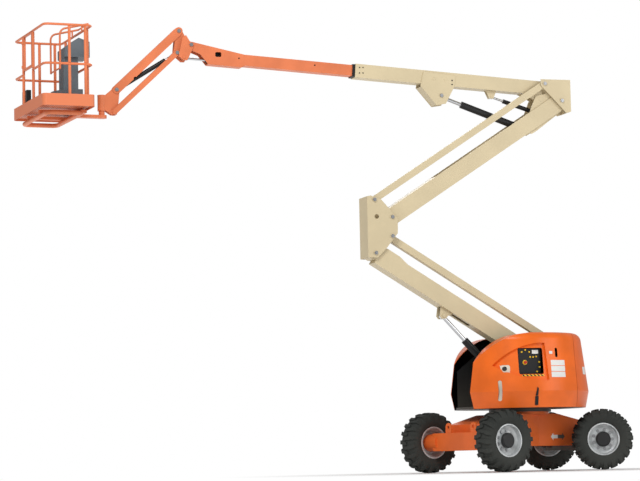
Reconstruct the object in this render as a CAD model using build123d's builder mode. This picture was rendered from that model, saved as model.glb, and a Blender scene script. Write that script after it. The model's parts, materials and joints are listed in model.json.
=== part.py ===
"""Articulated boom lift with a two-stage tower, a telescoping upper boom, a jib and a basket platform.

Millimetres.  Z is up, the ground is z = 0, the boom reaches toward -X and the near side is -Y.
Side profiles are given as (x, z) from the swing axis of the turntable.
"""
import math
import os

from build123d import *

os.makedirs("parts", exist_ok=True)

# Place of the swing axis in the frame of the part
SWING_X = 2737.665
SWING_Y = 5.7

# Chassis and wheels
CHASSIS_TURN = 18.0
WHEELBASE = 1950.0
TRACK = 1640.0
KINGPIN_OFFSET = 290.0
STEER_REST = -33.0
TYRE_R = 419.0
TYRE_W = 300.0
LUGS = 18
LUG_H = 26.0
LUG_NEAR = 18.0
LUG_SKEW = 34.0
GROOVE_IN = 34.0
GROOVE_OUT = 62.0
RIM_R = 222.0
RIM_W = 236.0
FRAME_BOTTOM = 345.0
FRAME_TOP = 786.0
FRAME_END_Z = 655.0
FRAME_WALL = 12.0
FRAME_WIDE = 470.0
DRUM_R = 400.0
FRAME_HALF = 320.0
BEAM_BOTTOM = 300.0
BEAM_TOP = 545.0
BEAM_HALF = 610.0
LUG_BORE_R = 27.0
LUG_R = 60.0
LUG_Z = 620.0
LUG_Y = 275.0
LUG_OUT = 68.0
LUG_T = 22.0
ARM_REACH = 190.0
TIE_Z = 330.0

# Turntable and hoods
DECK_Z = 862.0
DECK_T = 30.0
HOOD_R_LOW = 910.0
HOOD_R_CREASE = 955.0
HOOD_R_TOP = 868.0
HOOD_Z_CREASE = 1085.0
HOOD_Z_SIDE = 1770.0
HOOD_Z_TOP = 1885.0
HOOD_WALL = 6.0
SLOT_HALF = 385.0
SEAM_X = 540.0
NOTCH_X = 800.0
HOOD_ROUND = 120.0
RECESS_DEPTH = 36.0
PANEL = (-322.0, 1312.0, 12.0, 1668.0)
PANEL_ROUND = 24.0
PANEL_GAP = 7.0
BOX_Y = 800.0
HINGE_Z = HOOD_Z_TOP - HOOD_WALL - 11.0
HINGE_X = (-80.0, 420.0)
TURRET_IN = 140.0
TURRET_OUT = 160.0

# Tower
TOWER_LEN = 3050.0
LOWER_ANGLE = 31.6
UPPER_ANGLE = 33.1
TOWER_HALF = 128.0
TOWER_WALL = 8.0
TOWER_DEPTH = 232.0
KNUCKLE_IN = 165.0
KNUCKLE_OUT = 177.0
INNER_IN = 101.0
INNER_OUT = 111.0
LINK_IN = 116.0
LINK_OUT = 158.0
LINK_DEPTH = 92.0
T1 = (489.767, 1411.843)
STEP_LOW = (245.0, 233.0)
STEP_MID = (247.0, 496.0)
STEP_TOP = (-252.0, 236.0)
BOX_LEN = 880.0
OPEN_LEN = 1650.0

# Upper boom
BOOM_ANGLE = 3.7
BOOM_W = 190.0
BOOM_D = 190.0
BOOM_WALL = 8.0
BOOM_MOUTH = -2320.0
BOOM_TAIL = 437.0
FLY_W = 150.0
FLY_D = 150.0
FLY_WALL = 8.0
FLY_REAR = -1720.0
FLY_FRONT = -3890.0
PIVOT_OFF = (-297.0, 22.0)
LIFT_BASE_OFF = (-479.0, -407.0)
MASTER_BASE_OFF = (-364.0, -144.0)
AXIS_OFF = 164.0

# Jib and platform
NOSE_OFF = (-5191.042, 816.389)
NOSE_PIN = (158.0, -188.0)
SLAVE_PIN = (58.0, -360.0)
JIB_VEC = (-865.0, -820.0)
JIB_STEP = (-32.0, -300.0)
JIB_RAISE = 127.0
JIB_PLATE_IN = 36.0
JIB_PLATE_OUT = 46.0
JIB_ARM_IN = 51.0
JIB_ARM_OUT = 59.0
JIB_ARM_D = 112.0
JIB_LINK_IN = 64.0
JIB_LINK_OUT = 76.0
JIB_LINK_D = 70.0
NOSE_PLATE_IN = 82.0
NOSE_PLATE_OUT = 94.0
ROTATOR_AHEAD = 197.0
ROTATOR_R = 55.0
ROTATOR_LOW = 287.0
ROTATOR_H = 215.0
CONSOLE_Y = -40.0
GUARD_R = 13.0
LOOP_R = 30.0
LOOP_BEND = 80.0
BEAM_T = 40.0
PLATFORM_YAW = 4.6
PLATFORM_IN = 309.0
PLATFORM_D = 701.0
PLATFORM_HALF = 775.0
PLATFORM_DROP = 344.0
TOE_H = 155.0
TOE_T = 4.0
TOE_ROUND = 60.0
FLOOR_RAISE = 28.0
FLOOR_T = 6.0
RAIL_H = 1066.0
RAIL_MID_H = 554.0
RAIL_R = 16.0
POST_R = 19.0

# Cylinders
CYL_LUG_IN = 60.0
CYL_LUG_OUT = 76.0
PIN_R = 25.0
JIB_PIN_R = 20.0
LEVEL_PIN_R = 14.0
RUN = 0.4
SPLIT = 0.3


def plus(a, b):
    return (a[0] + b[0], a[1] + b[1])


def polar(p, length, angle):
    return (p[0] + length * math.cos(math.radians(angle)), p[1] + length * math.sin(math.radians(angle)))


def angle_of(a, b):
    return math.degrees(math.atan2(b[1] - a[1], b[0] - a[0]))


def dist(a, b):
    return math.hypot(b[0] - a[0], b[1] - a[1])


# Pins of the tower, from the turntable up
P4 = polar(T1, TOWER_LEN, 180 - LOWER_ANGLE)
T2 = plus(T1, STEP_LOW)
P3 = plus(P4, STEP_LOW)
P2 = plus(P4, STEP_MID)
P1 = plus(P2, STEP_TOP)
U2 = polar(P2, TOWER_LEN, UPPER_ANGLE)
U1 = plus(U2, STEP_TOP)
Q = plus(U2, PIVOT_OFF)
LIFT_BASE = plus(U2, LIFT_BASE_OFF)
MASTER_BASE = plus(U2, MASTER_BASE_OFF)
LIFT_PIN = plus(Q, (-1471.0, 25.0))
MASTER_PIN = plus(Q, (-706.0, 33.0))
TOWER_BASE = (-100.0, 1085.0)
TOWER_PIN = plus(T1, (-1602.0, 749.0))
J1 = plus(Q, NOSE_OFF)
J3 = plus(J1, NOSE_PIN)
J4 = plus(J1, SLAVE_PIN)
J2 = plus(J1, JIB_STEP)
J5 = plus(J1, JIB_VEC)
J6 = plus(J2, JIB_VEC)
ROTATOR_X = J5[0] - ROTATOR_AHEAD
ROTATOR_Z0 = J5[1] - ROTATOR_LOW
ROTATOR_Z1 = ROTATOR_Z0 + ROTATOR_H
PLATFORM_Z = J5[1] - PLATFORM_DROP
RAIL_TOP = PLATFORM_Z + RAIL_H
RAIL_MID = PLATFORM_Z + RAIL_MID_H

# Planes: side view, chassis and platform
side = Plane(origin=(SWING_X, SWING_Y, 0), x_dir=(1, 0, 0), z_dir=(0, -1, 0))
turn = math.radians(CHASSIS_TURN)
CX = (math.cos(turn), math.sin(turn), 0.0)
CY = (-math.sin(turn), math.cos(turn), 0.0)
chassis = Plane(origin=(SWING_X, SWING_Y, 0), x_dir=CX, z_dir=(0, 0, 1))
deck = Plane(origin=(SWING_X, SWING_Y, 0), x_dir=(1, 0, 0), z_dir=(0, 0, 1))
yaw = math.radians(PLATFORM_YAW)
basket = Plane(
    origin=(SWING_X + ROTATOR_X, SWING_Y, 0),
    x_dir=(math.cos(yaw), math.sin(yaw), 0),
    z_dir=(0, 0, 1),
)

basket_side = Plane(
    origin=(SWING_X + ROTATOR_X, SWING_Y, 0),
    x_dir=(math.cos(yaw), math.sin(yaw), 0),
    z_dir=(math.sin(yaw), -math.cos(yaw), 0),
)


def chassis_point(x, y, z):
    return (SWING_X + x * CX[0] + y * CY[0], SWING_Y + x * CX[1] + y * CY[1], z)


def both(y0, y1):
    return ((y0, y1 - y0), (-y1, y1 - y0))


def band(a, b, half, extra_a=0.0, extra_b=0.0):
    """Four corners of a bar along a to b in the side view."""
    t = math.radians(angle_of(a, b))
    d = (math.cos(t), math.sin(t))
    n = (-d[1], d[0])
    a = (a[0] - d[0] * extra_a, a[1] - d[1] * extra_a)
    b = (b[0] + d[0] * extra_b, b[1] + d[1] * extra_b)
    return [
        (a[0] + n[0] * half, a[1] + n[1] * half),
        (b[0] + n[0] * half, b[1] + n[1] * half),
        (b[0] - n[0] * half, b[1] - n[1] * half),
        (a[0] - n[0] * half, a[1] - n[1] * half),
    ]


def along(a, b, s, perp=0.0):
    """Point s along a to b and perp to its left."""
    t = math.radians(angle_of(a, b))
    return (a[0] + s * math.cos(t) - perp * math.sin(t), a[1] + s * math.sin(t) + perp * math.cos(t))


AXLE_X = -WHEELBASE / 2

# Chassis frame: a box between the axles, highest under the bearing drum
FRAME_X0 = AXLE_X + 90.3
FRAME_X1 = WHEELBASE / 2 - 75.3
chassis_side = Plane(origin=chassis_point(0, 0, 0), x_dir=CX, z_dir=(-CY[0], -CY[1], 0))
frame_shapes = []
for inset in (0.0, FRAME_WALL):
    with BuildPart() as shape:
        with BuildSketch(chassis.offset(FRAME_BOTTOM - inset)):
            with BuildLine():
                Polyline(
                    (FRAME_X0 + inset, -FRAME_WIDE + inset),
                    (-420, -FRAME_WIDE + inset),
                    (60, -FRAME_HALF + inset),
                    (FRAME_X1 - inset, -FRAME_HALF + inset),
                    (FRAME_X1 - inset, FRAME_HALF - inset),
                    (60, FRAME_HALF - inset),
                    (-420, FRAME_WIDE - inset),
                    (FRAME_X0 + inset, FRAME_WIDE - inset),
                    close=True,
                )
            make_face()
        extrude(amount=600)
        with BuildSketch(chassis_side):
            with BuildLine():
                Polyline(
                    (FRAME_X0 - 1, FRAME_END_Z - inset),
                    (-DRUM_R, FRAME_TOP - inset),
                    (DRUM_R, FRAME_TOP - inset),
                    (FRAME_X1 + 1, FRAME_END_Z + 20 - inset),
                    (FRAME_X1 + 1, 1200),
                    (FRAME_X0 - 1, 1200),
                    close=True,
                )
            make_face()
        extrude(amount=700, both=True, mode=Mode.SUBTRACT)
    frame_shapes.append(shape.part)
with BuildPart() as chassis_frame:
    add(frame_shapes[0])
    add(frame_shapes[1], mode=Mode.SUBTRACT)
    with BuildSketch(chassis.offset(FRAME_TOP - FRAME_WALL)):
        Circle(DRUM_R)
    extrude(amount=DECK_Z - 46 - FRAME_TOP + FRAME_WALL)
chassis_frame.part.label = "chassis_frame"
export_step(chassis_frame.part, "parts/chassis_frame.step")

# Bearing ring between the drum and the deck
with BuildPart() as swing_bearing:
    with BuildSketch(deck.offset(DECK_Z - 46)):
        Circle(430)
        Circle(330, mode=Mode.SUBTRACT)
    extrude(amount=46 - RUN)
swing_bearing.part.label = "swing_bearing"
export_step(swing_bearing.part, "parts/swing_bearing.step")

# Fixed axle: box beam, drive hubs at its ends and two tie-down lugs
with BuildPart() as fixed_axle:
    with BuildSketch(chassis.offset(BEAM_BOTTOM)):
        with Locations((AXLE_X, 0)):
            Rectangle(180, 2 * BEAM_HALF)
    extrude(amount=BEAM_TOP - BEAM_BOTTOM)
    with BuildSketch(chassis.offset(BEAM_BOTTOM + 10)):
        with Locations((AXLE_X, 0)):
            Rectangle(160, 2 * BEAM_HALF - 40)
    extrude(amount=BEAM_TOP - BEAM_BOTTOM - 20, mode=Mode.SUBTRACT)
    for end in (-1, 1):
        hub = chassis_point(AXLE_X, end * (BEAM_HALF - 80), TYRE_R)
        with BuildSketch(Plane(origin=hub, x_dir=CX, z_dir=(end * CY[0], end * CY[1], 0))):
            Circle(118)
        extrude(amount=TRACK / 2 - BEAM_HALF + 80 - 20 - RUN)
    for end in (-1, 1):
        lug = chassis_point(AXLE_X - LUG_OUT + LUG_T / 2, end * LUG_Y, 0)
        with BuildSketch(Plane(origin=lug, x_dir=(-CY[0], -CY[1], 0), z_dir=(-CX[0], -CX[1], 0))):
            with BuildLine():
                Polyline(
                    (-LUG_R, LUG_Z),
                    (LUG_R, LUG_Z),
                    (LUG_R, BEAM_TOP - 5),
                    (-LUG_R, BEAM_TOP - 5),
                    close=True,
                )
            make_face()
            with Locations((0, LUG_Z)):
                Circle(LUG_R)
            with Locations((0, LUG_Z)):
                Circle(LUG_BORE_R, mode=Mode.SUBTRACT)
        extrude(amount=LUG_T)
fixed_axle.part.label = "fixed_axle"
export_step(fixed_axle.part, "parts/fixed_axle.step")

# Steer axle: beam with two forks for the kingpins
KING_Y = TRACK / 2 - KINGPIN_OFFSET
with BuildPart() as steer_axle:
    with BuildSketch(chassis.offset(BEAM_BOTTOM + 20)):
        with Locations((WHEELBASE / 2, 0)):
            Rectangle(150, 2 * KING_Y - 260)
    extrude(amount=190)
    for z in (BEAM_BOTTOM - 20, BEAM_BOTTOM + 210):
        with BuildSketch(chassis.offset(z)):
            with Locations((WHEELBASE / 2, 0)):
                Rectangle(130, 2 * KING_Y)
            with Locations((WHEELBASE / 2, KING_Y), (WHEELBASE / 2, -KING_Y)):
                Circle(65)
        extrude(amount=40)
steer_axle.part.label = "steer_axle"
export_step(steer_axle.part, "parts/steer_axle.step")

# Wheels: name, place along and across the chassis, turn of the wheel
WHEELS = (
    ("fixed_near", -WHEELBASE / 2, -1, 0.0),
    ("fixed_far", -WHEELBASE / 2, 1, 0.0),
    ("steer_near", WHEELBASE / 2, -1, STEER_REST),
    ("steer_far", WHEELBASE / 2, 1, STEER_REST),
)


def wheel_frame(x, end, steer):
    """Centre of a wheel and its outward axle."""
    a = math.radians(CHASSIS_TURN + 90 * end + steer)
    out = (math.cos(a), math.sin(a), 0.0)
    if steer == 0.0:
        c = chassis_point(x, end * TRACK / 2, TYRE_R)
    else:
        k = chassis_point(x, end * KING_Y, TYRE_R)
        c = (k[0] + KINGPIN_OFFSET * out[0], k[1] + KINGPIN_OFFSET * out[1], TYRE_R)
    return c, out


for name, x, end, steer in WHEELS:
    centre, out = wheel_frame(x, end, steer)
    radial = Plane(origin=centre, x_dir=out, z_dir=(out[1], -out[0], 0))
    spin = Axis(centre, out)
    h = TYRE_W / 2
    with BuildPart() as tyre:
        with BuildSketch(radial):
            with BuildLine():
                Polyline((-h + 34, RIM_R), (-h + 22, RIM_R + 24))
                ThreePointArc((-h + 22, RIM_R + 24), (-h, RIM_R + 92), (-h + 12, TYRE_R - 44))
                Polyline((-h + 12, TYRE_R - 44), (-h + 34, TYRE_R - 6))
                ThreePointArc((-h + 34, TYRE_R - 6), (0, TYRE_R), (h - 34, TYRE_R - 6))
                Polyline((h - 34, TYRE_R - 6), (h - 12, TYRE_R - 44))
                ThreePointArc((h - 12, TYRE_R - 44), (h, RIM_R + 92), (h - 22, RIM_R + 24))
                Polyline((h - 22, RIM_R + 24), (h - 34, RIM_R), (-h + 34, RIM_R))
            make_face()
        revolve(axis=spin)
        for i in range(2 * LUGS):
            hand = 1 if i % 2 else -1
            turn_by = math.radians(180 * i / LUGS)
            up = (0.0, 0.0, 1.0)
            fore = (-out[1], out[0], 0.0)
            ray = [math.cos(turn_by) * up[k] + math.sin(turn_by) * fore[k] for k in range(3)]
            root = [centre[k] + (TYRE_R - LUG_H) * ray[k] for k in range(3)]
            with BuildSketch(Plane(origin=tuple(root), x_dir=out, z_dir=tuple(ray))):
                with BuildLine():
                    Polyline(
                        (hand * LUG_NEAR, -GROOVE_IN / 2),
                        (hand * h * 1.1, LUG_SKEW - GROOVE_OUT / 2),
                        (hand * h * 1.1, LUG_SKEW + GROOVE_OUT / 2),
                        (hand * LUG_NEAR, GROOVE_IN / 2),
                        close=True,
                    )
                make_face()
            extrude(amount=2 * LUG_H, mode=Mode.SUBTRACT)
    tyre.part.label = "tyre_" + name
    export_step(tyre.part, "parts/tyre_" + name + ".step")
    w = RIM_W / 2
    with BuildPart() as rim:
        with BuildSketch(radial):
            with BuildLine():
                Polyline(
                    (-w, RIM_R - 0.3),
                    (w, RIM_R - 0.3),
                    (w, RIM_R - 16),
                    (w - 60, RIM_R - 30),
                    (w - 88, 150),
                    (w - 88, 112),
                    (w - 10, 100),
                    (w + 2, 86),
                    (w + 2, 0),
                    (-20, 0),
                    (-20, 105),
                    (10, 160),
                    (-w, RIM_R - 18),
                    close=True,
                )
            make_face()
        revolve(axis=spin)
    rim.part.label = "rim_" + name
    export_step(rim.part, "parts/rim_" + name + ".step")

# Steering knuckles: upright between the forks, spindle and arm
for name, x, end, steer in WHEELS[2:]:
    centre, out = wheel_frame(x, end, steer)
    king = chassis_point(x, end * KING_Y, 0)
    a = math.radians(CHASSIS_TURN + steer)
    fore = (math.cos(a), math.sin(a), 0.0)
    local = Plane(origin=king, x_dir=fore, z_dir=(0, 0, 1))
    with BuildPart() as knuckle:
        with BuildSketch(local.offset(BEAM_BOTTOM + 20 + RUN)):
            Circle(58)
        extrude(amount=190 - 2 * RUN)
        with BuildSketch(Plane(origin=(king[0], king[1], TYRE_R), x_dir=fore, z_dir=out)):
            Circle(56)
        extrude(amount=120)
        with BuildSketch(Plane(origin=(king[0], king[1], TYRE_R), x_dir=fore, z_dir=out).offset(115)):
            Circle(112)
        extrude(amount=KINGPIN_OFFSET - 135 - RUN)
        with BuildSketch(local.offset(TIE_Z)):
            with Locations((ARM_REACH / 2, 0)):
                Rectangle(ARM_REACH, 60)
            with Locations((ARM_REACH, 0)):
                Circle(34)
        extrude(amount=30)
    knuckle.part.label = "knuckle_" + name
    export_step(knuckle.part, "parts/knuckle_" + name + ".step")

# Tie rod between the two steering arms
sa = math.radians(STEER_REST)
TIE_X = WHEELBASE / 2 + ARM_REACH * math.cos(sa)
TIE_DY = ARM_REACH * math.sin(sa)
with BuildPart() as tie_rod:
    with BuildSketch(chassis.offset(TIE_Z + 30 + RUN)):
        with Locations((TIE_X, TIE_DY + KING_Y), (TIE_X, TIE_DY - KING_Y)):
            Circle(30)
        with Locations((TIE_X, TIE_DY)):
            Rectangle(36, 2 * KING_Y)
    extrude(amount=36)
tie_rod.part.label = "tie_rod"
export_step(tie_rod.part, "parts/tie_rod.step")

# Turntable frame: deck, turret plates, inner walls of the hoods and cylinder lugs
with BuildPart() as turntable_frame:
    with BuildSketch(deck.offset(DECK_Z)):
        Circle(HOOD_R_LOW - 30)
    extrude(amount=DECK_T)
    for y0, t in both(TURRET_IN, TURRET_OUT):
        with BuildSketch(side.offset(y0)):
            with BuildLine():
                Polyline(
                    (T1[0] - 330, DECK_Z + DECK_T),
                    (T2[0] + 60, DECK_Z + DECK_T),
                    (T2[0] + 60, T2[1] + 40),
                    (T2[0] + 20, T2[1] + 80),
                    (T2[0] - 40, T2[1] + 80),
                    (T1[0] - 110, T1[1] + 60),
                    (T1[0] - 110, T1[1] - 90),
                    close=True,
                )
            make_face()
        extrude(amount=t)
    for pin in (T1, T2):
        for y0, t in both(TOWER_HALF - 30, TURRET_OUT + 8):
            with BuildSketch(side.offset(y0)):
                with Locations(pin):
                    Circle(PIN_R)
            extrude(amount=t)
    for y0, t in both(CYL_LUG_IN, CYL_LUG_OUT):
        with BuildSketch(side.offset(y0)):
            with BuildLine():
                Polyline(
                    (TOWER_BASE[0] - 90, DECK_Z + DECK_T),
                    (TOWER_BASE[0] + 120, DECK_Z + DECK_T),
                    (TOWER_BASE[0] + 50, TOWER_BASE[1] + 40),
                    (TOWER_BASE[0] - 50, TOWER_BASE[1] + 40),
                    close=True,
                )
            make_face()
        extrude(amount=t)
    with BuildSketch(side.offset(-CYL_LUG_OUT)):
        with Locations(TOWER_BASE):
            Circle(PIN_R)
    extrude(amount=2 * CYL_LUG_OUT)
    for y0, t in both(SLOT_HALF - 22, SLOT_HALF - 14):
        with BuildSketch(side.offset(y0)):
            with BuildLine():
                Polyline(
                    (-780, DECK_Z + DECK_T),
                    (SEAM_X, DECK_Z + DECK_T),
                    (SEAM_X, HOOD_Z_TOP - 60),
                    (-250, HOOD_Z_TOP - 60),
                    (-780, 1400),
                    close=True,
                )
            make_face()
        extrude(amount=t)
    for end in (-1, 1):
        for x in HINGE_X:
            with BuildSketch(Plane(origin=(SWING_X + x, SWING_Y, 0), x_dir=(0, end, 0), z_dir=(end, 0, 0))):
                with Locations((SLOT_HALF - 5, HINGE_Z - 36)):
                    Rectangle(34, 60)
                with Locations((SLOT_HALF + 3, HINGE_Z)):
                    Circle(11 - RUN)
            extrude(amount=40, both=True)
turntable_frame.part.label = "turntable_frame"
export_step(turntable_frame.part, "parts/turntable_frame.step")

# Bodies of revolution for the turntable covers, by how far they lie inside the outer skin
skins = {}
for inset in (0.0, HOOD_WALL, RECESS_DEPTH, RECESS_DEPTH + HOOD_WALL):
    drop = 0.0 if inset == 0.0 else 20.0
    with BuildPart() as skin:
        with BuildSketch(side):
            with BuildLine():
                Polyline(
                    (HOOD_R_TOP - HOOD_ROUND - inset, HOOD_Z_TOP - inset),
                    (0, HOOD_Z_TOP - inset),
                    (0, DECK_Z - drop),
                    (HOOD_R_LOW - inset, DECK_Z - drop),
                    (HOOD_R_CREASE - inset, HOOD_Z_CREASE),
                    (HOOD_R_TOP - inset, HOOD_Z_SIDE),
                )
                ThreePointArc(
                    (HOOD_R_TOP - inset, HOOD_Z_SIDE),
                    (
                        HOOD_R_TOP - 0.29 * HOOD_ROUND - inset,
                        0.29 * HOOD_Z_SIDE + 0.71 * (HOOD_Z_TOP - inset),
                    ),
                    (HOOD_R_TOP - HOOD_ROUND - inset, HOOD_Z_TOP - inset),
                )
            make_face()
        revolve(axis=Axis((SWING_X, SWING_Y, 0), (0, 0, 1)))
    skins[inset] = skin.part

# Counterweight: the tail segment of the round turntable, notched for the turret
with BuildPart() as counterweight:
    add(skins[0.0])
    with BuildSketch(deck.offset(DECK_Z - 1)):
        with Locations((SEAM_X + 6 - 1500, 0)):
            Rectangle(3000, 3000)
    extrude(amount=1100, mode=Mode.SUBTRACT)
    with BuildSketch(deck.offset(DECK_Z - 1)):
        with Locations(((SEAM_X + NOTCH_X) / 2, 0)):
            Rectangle(NOTCH_X - SEAM_X + 20, 2 * SLOT_HALF)
    extrude(amount=1100, mode=Mode.SUBTRACT)
    with BuildSketch(deck.offset(DECK_Z - 1)):
        Circle(HOOD_R_LOW - 29)
    extrude(amount=DECK_T + 1.3, mode=Mode.SUBTRACT)
counterweight.part.label = "counterweight"
export_step(counterweight.part, "parts/counterweight.step")

# Engine: one plain block on the far side of the deck
with BuildPart() as engine_block:
    with BuildSketch(deck.offset(DECK_Z + DECK_T)):
        with Locations((-120, 590)):
            Rectangle(760, 300)
    extrude(amount=560)
engine_block.part.label = "engine_block"
export_step(engine_block.part, "parts/engine_block.step")

# Ground control box on the near side, behind the window of the hood
with BuildPart() as control_box:
    with BuildSketch(side.offset(SLOT_HALF - 14)):
        with Locations(((PANEL[0] + PANEL[2]) / 2, (PANEL[1] + PANEL[3]) / 2)):
            RectangleRounded(
                PANEL[2] - PANEL[0] - 2 * PANEL_GAP,
                PANEL[3] - PANEL[1] - 2 * PANEL_GAP,
                PANEL_ROUND - PANEL_GAP,
            )
    extrude(amount=BOX_Y - SLOT_HALF + 14)
control_box.part.label = "control_box"
export_step(control_box.part, "parts/control_box.step")

# Hoods: thin covers with a raked front, closed inside by the inner walls and the tail
for name, end in (("near", -1), ("far", 1)):
    covers = []
    for inset in (0.0, HOOD_WALL):
        drop = 0.0 if inset == 0.0 else 20.0
        with BuildPart() as cover:
            add(skins[inset])
            with BuildSketch(deck):
                with Locations((0, end * (SLOT_HALF - drop - 1500))):
                    Rectangle(4000, 3000)
                with Locations((SEAM_X + drop + 1500, 0)):
                    Rectangle(3000, 4000)
            extrude(amount=2500, mode=Mode.SUBTRACT)
            with BuildSketch(side):
                with BuildLine():
                    ThreePointArc(
                        (-905, 1300 - inset),
                        (-700 + 0.6 * inset, 1640 - 0.8 * inset),
                        (-300, 1862 - inset),
                    )
                    Polyline(
                        (-300, 1862 - inset),
                        (-120, HOOD_Z_TOP + 1 - inset),
                        (-120, 2300),
                        (-1000, 2300),
                        (-1000, 1270 - inset),
                        (-905, 1300 - inset),
                    )
                make_face()
            extrude(amount=1200, both=True, mode=Mode.SUBTRACT)
        covers.append(cover.part)
    with BuildPart() as hood:
        add(covers[0])
        add(covers[1], mode=Mode.SUBTRACT)
        if end < 0:
            for inset, grow in ((RECESS_DEPTH + HOOD_WALL, HOOD_WALL), (RECESS_DEPTH, 0.0)):
                with BuildSketch(side.offset(500)):
                    with BuildLine():
                        Line((38 + grow, 1735 + grow), (72 + grow, 1228 - grow))
                        ThreePointArc((72 + grow, 1228 - grow), (-300, 1278 - grow), (-640 - 2 * grow, 1440))
                        ThreePointArc(
                            (-640 - 2 * grow, 1440),
                            (-420 - grow, 1625 + grow),
                            (38 + grow, 1735 + grow),
                        )
                    make_face()
                tool = extrude(amount=480, mode=Mode.PRIVATE)
                if grow > 0.0:
                    add((tool & skins[0.0]) - skins[inset])
                else:
                    add(tool - skins[inset], mode=Mode.SUBTRACT)
            with BuildSketch(side.offset(500)):
                with Locations(((PANEL[0] + PANEL[2]) / 2, (PANEL[1] + PANEL[3]) / 2)):
                    RectangleRounded(PANEL[2] - PANEL[0], PANEL[3] - PANEL[1], PANEL_ROUND)
                with Locations((-484, 1392)):
                    RectangleRounded(110, 100, 30)
                with Locations((-573, 1094)):
                    SlotOverall(280, 44, rotation=90)
                with Locations((209, 1602)):
                    SlotOverall(130, 40, rotation=90)
            extrude(amount=480, mode=Mode.SUBTRACT)
    hood.part.label = "hood_" + name
    export_step(hood.part, "parts/hood_" + name + ".step")

# Lower boom: box arm with rounded ends, a raised shoulder and the lugs of the tower cylinder
SLOT_A = dist(T1, TOWER_PIN) - 420
SLOT_B = dist(T1, TOWER_PIN) + 80
with BuildPart() as lower_boom:
    with BuildSketch(side):
        with BuildLine():
            Polyline(*band(T1, P4, TOWER_DEPTH / 2, 0, -60), close=True)
        make_face()
        with Locations(T1):
            Circle(105)
        with Locations(P4):
            Circle(86)
        with BuildLine():
            Polyline(
                along(P4, T1, -20, 84),
                along(P4, T1, 120, 150),
                along(P4, T1, 330, 150),
                along(P4, T1, 480, TOWER_DEPTH / 2),
                along(P4, T1, 480, 0),
                along(P4, T1, 0, 0),
                close=True,
            )
        make_face()
    extrude(amount=TOWER_HALF, both=True)
    with BuildSketch(side):
        with BuildLine():
            Polyline(*band(T1, P4, TOWER_DEPTH / 2 - TOWER_WALL, -140, -110), close=True)
        make_face()
    extrude(amount=TOWER_HALF - TOWER_WALL, both=True, mode=Mode.SUBTRACT)
    with BuildSketch(side):
        with BuildLine():
            Polyline(*band(T1, P4, TOWER_DEPTH / 2 + 60, -SLOT_A, SLOT_B - TOWER_LEN), close=True)
        make_face()
        with BuildLine():
            Polyline(
                along(T1, P4, SLOT_A - 50, 36),
                along(T1, P4, SLOT_B + 50, 36),
                along(T1, P4, SLOT_B + 50, 400),
                along(T1, P4, SLOT_A - 50, 400),
                close=True,
            )
        make_face(mode=Mode.INTERSECT)
    extrude(amount=CYL_LUG_IN - 2, both=True, mode=Mode.SUBTRACT)
    for pin in (T1, P4):
        with BuildSketch(side):
            with Locations(pin):
                Circle(PIN_R + RUN)
        extrude(amount=TOWER_HALF + 1, both=True, mode=Mode.SUBTRACT)
    for y0, t in both(CYL_LUG_IN, CYL_LUG_OUT):
        with BuildSketch(side.offset(y0)):
            with BuildLine():
                Polyline(
                    along(T1, P4, dist(T1, TOWER_PIN) - 120, TOWER_DEPTH / 2 - 4),
                    along(T1, P4, dist(T1, TOWER_PIN) + 90, TOWER_DEPTH / 2 - 4),
                    plus(TOWER_PIN, (-60, -10)),
                    plus(TOWER_PIN, (-30, -45)),
                    plus(TOWER_PIN, (30, -45)),
                    plus(TOWER_PIN, (60, -10)),
                    close=True,
                )
            make_face()
        extrude(amount=t)
    for y0, t in both(CYL_LUG_OUT, CYL_LUG_OUT + 14):
        with BuildSketch(side.offset(y0)):
            with Locations(TOWER_PIN):
                Circle(PIN_R)
        extrude(amount=t)
lower_boom.part.label = "lower_boom"
export_step(lower_boom.part, "parts/lower_boom.step")

# Links of the two parallelograms: name, ends, inner and outer face
LINKS = (
    ("lower_link", T2, P3, -50.0, 50.0),
    ("upper_link", P1, U1, LINK_IN, LINK_OUT),
)
for name, a, b, y0, y1 in LINKS:
    with BuildPart() as link:
        with BuildSketch(side.offset(y0)):
            with BuildLine():
                Polyline(*band(a, b, LINK_DEPTH / 2), close=True)
            make_face()
            with Locations(a, b):
                Circle(LINK_DEPTH / 2 + 4)
            with Locations(a, b):
                Circle(PIN_R + RUN, mode=Mode.SUBTRACT)
        extrude(amount=y1 - y0)
        with BuildSketch(side.offset(y0 + 6)):
            with BuildLine():
                Polyline(*band(a, b, LINK_DEPTH / 2 - 6, -90, -90), close=True)
            make_face()
        extrude(amount=y1 - y0 - 12, mode=Mode.SUBTRACT)
    link.part.label = name
    export_step(link.part, "parts/" + name + ".step")

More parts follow.
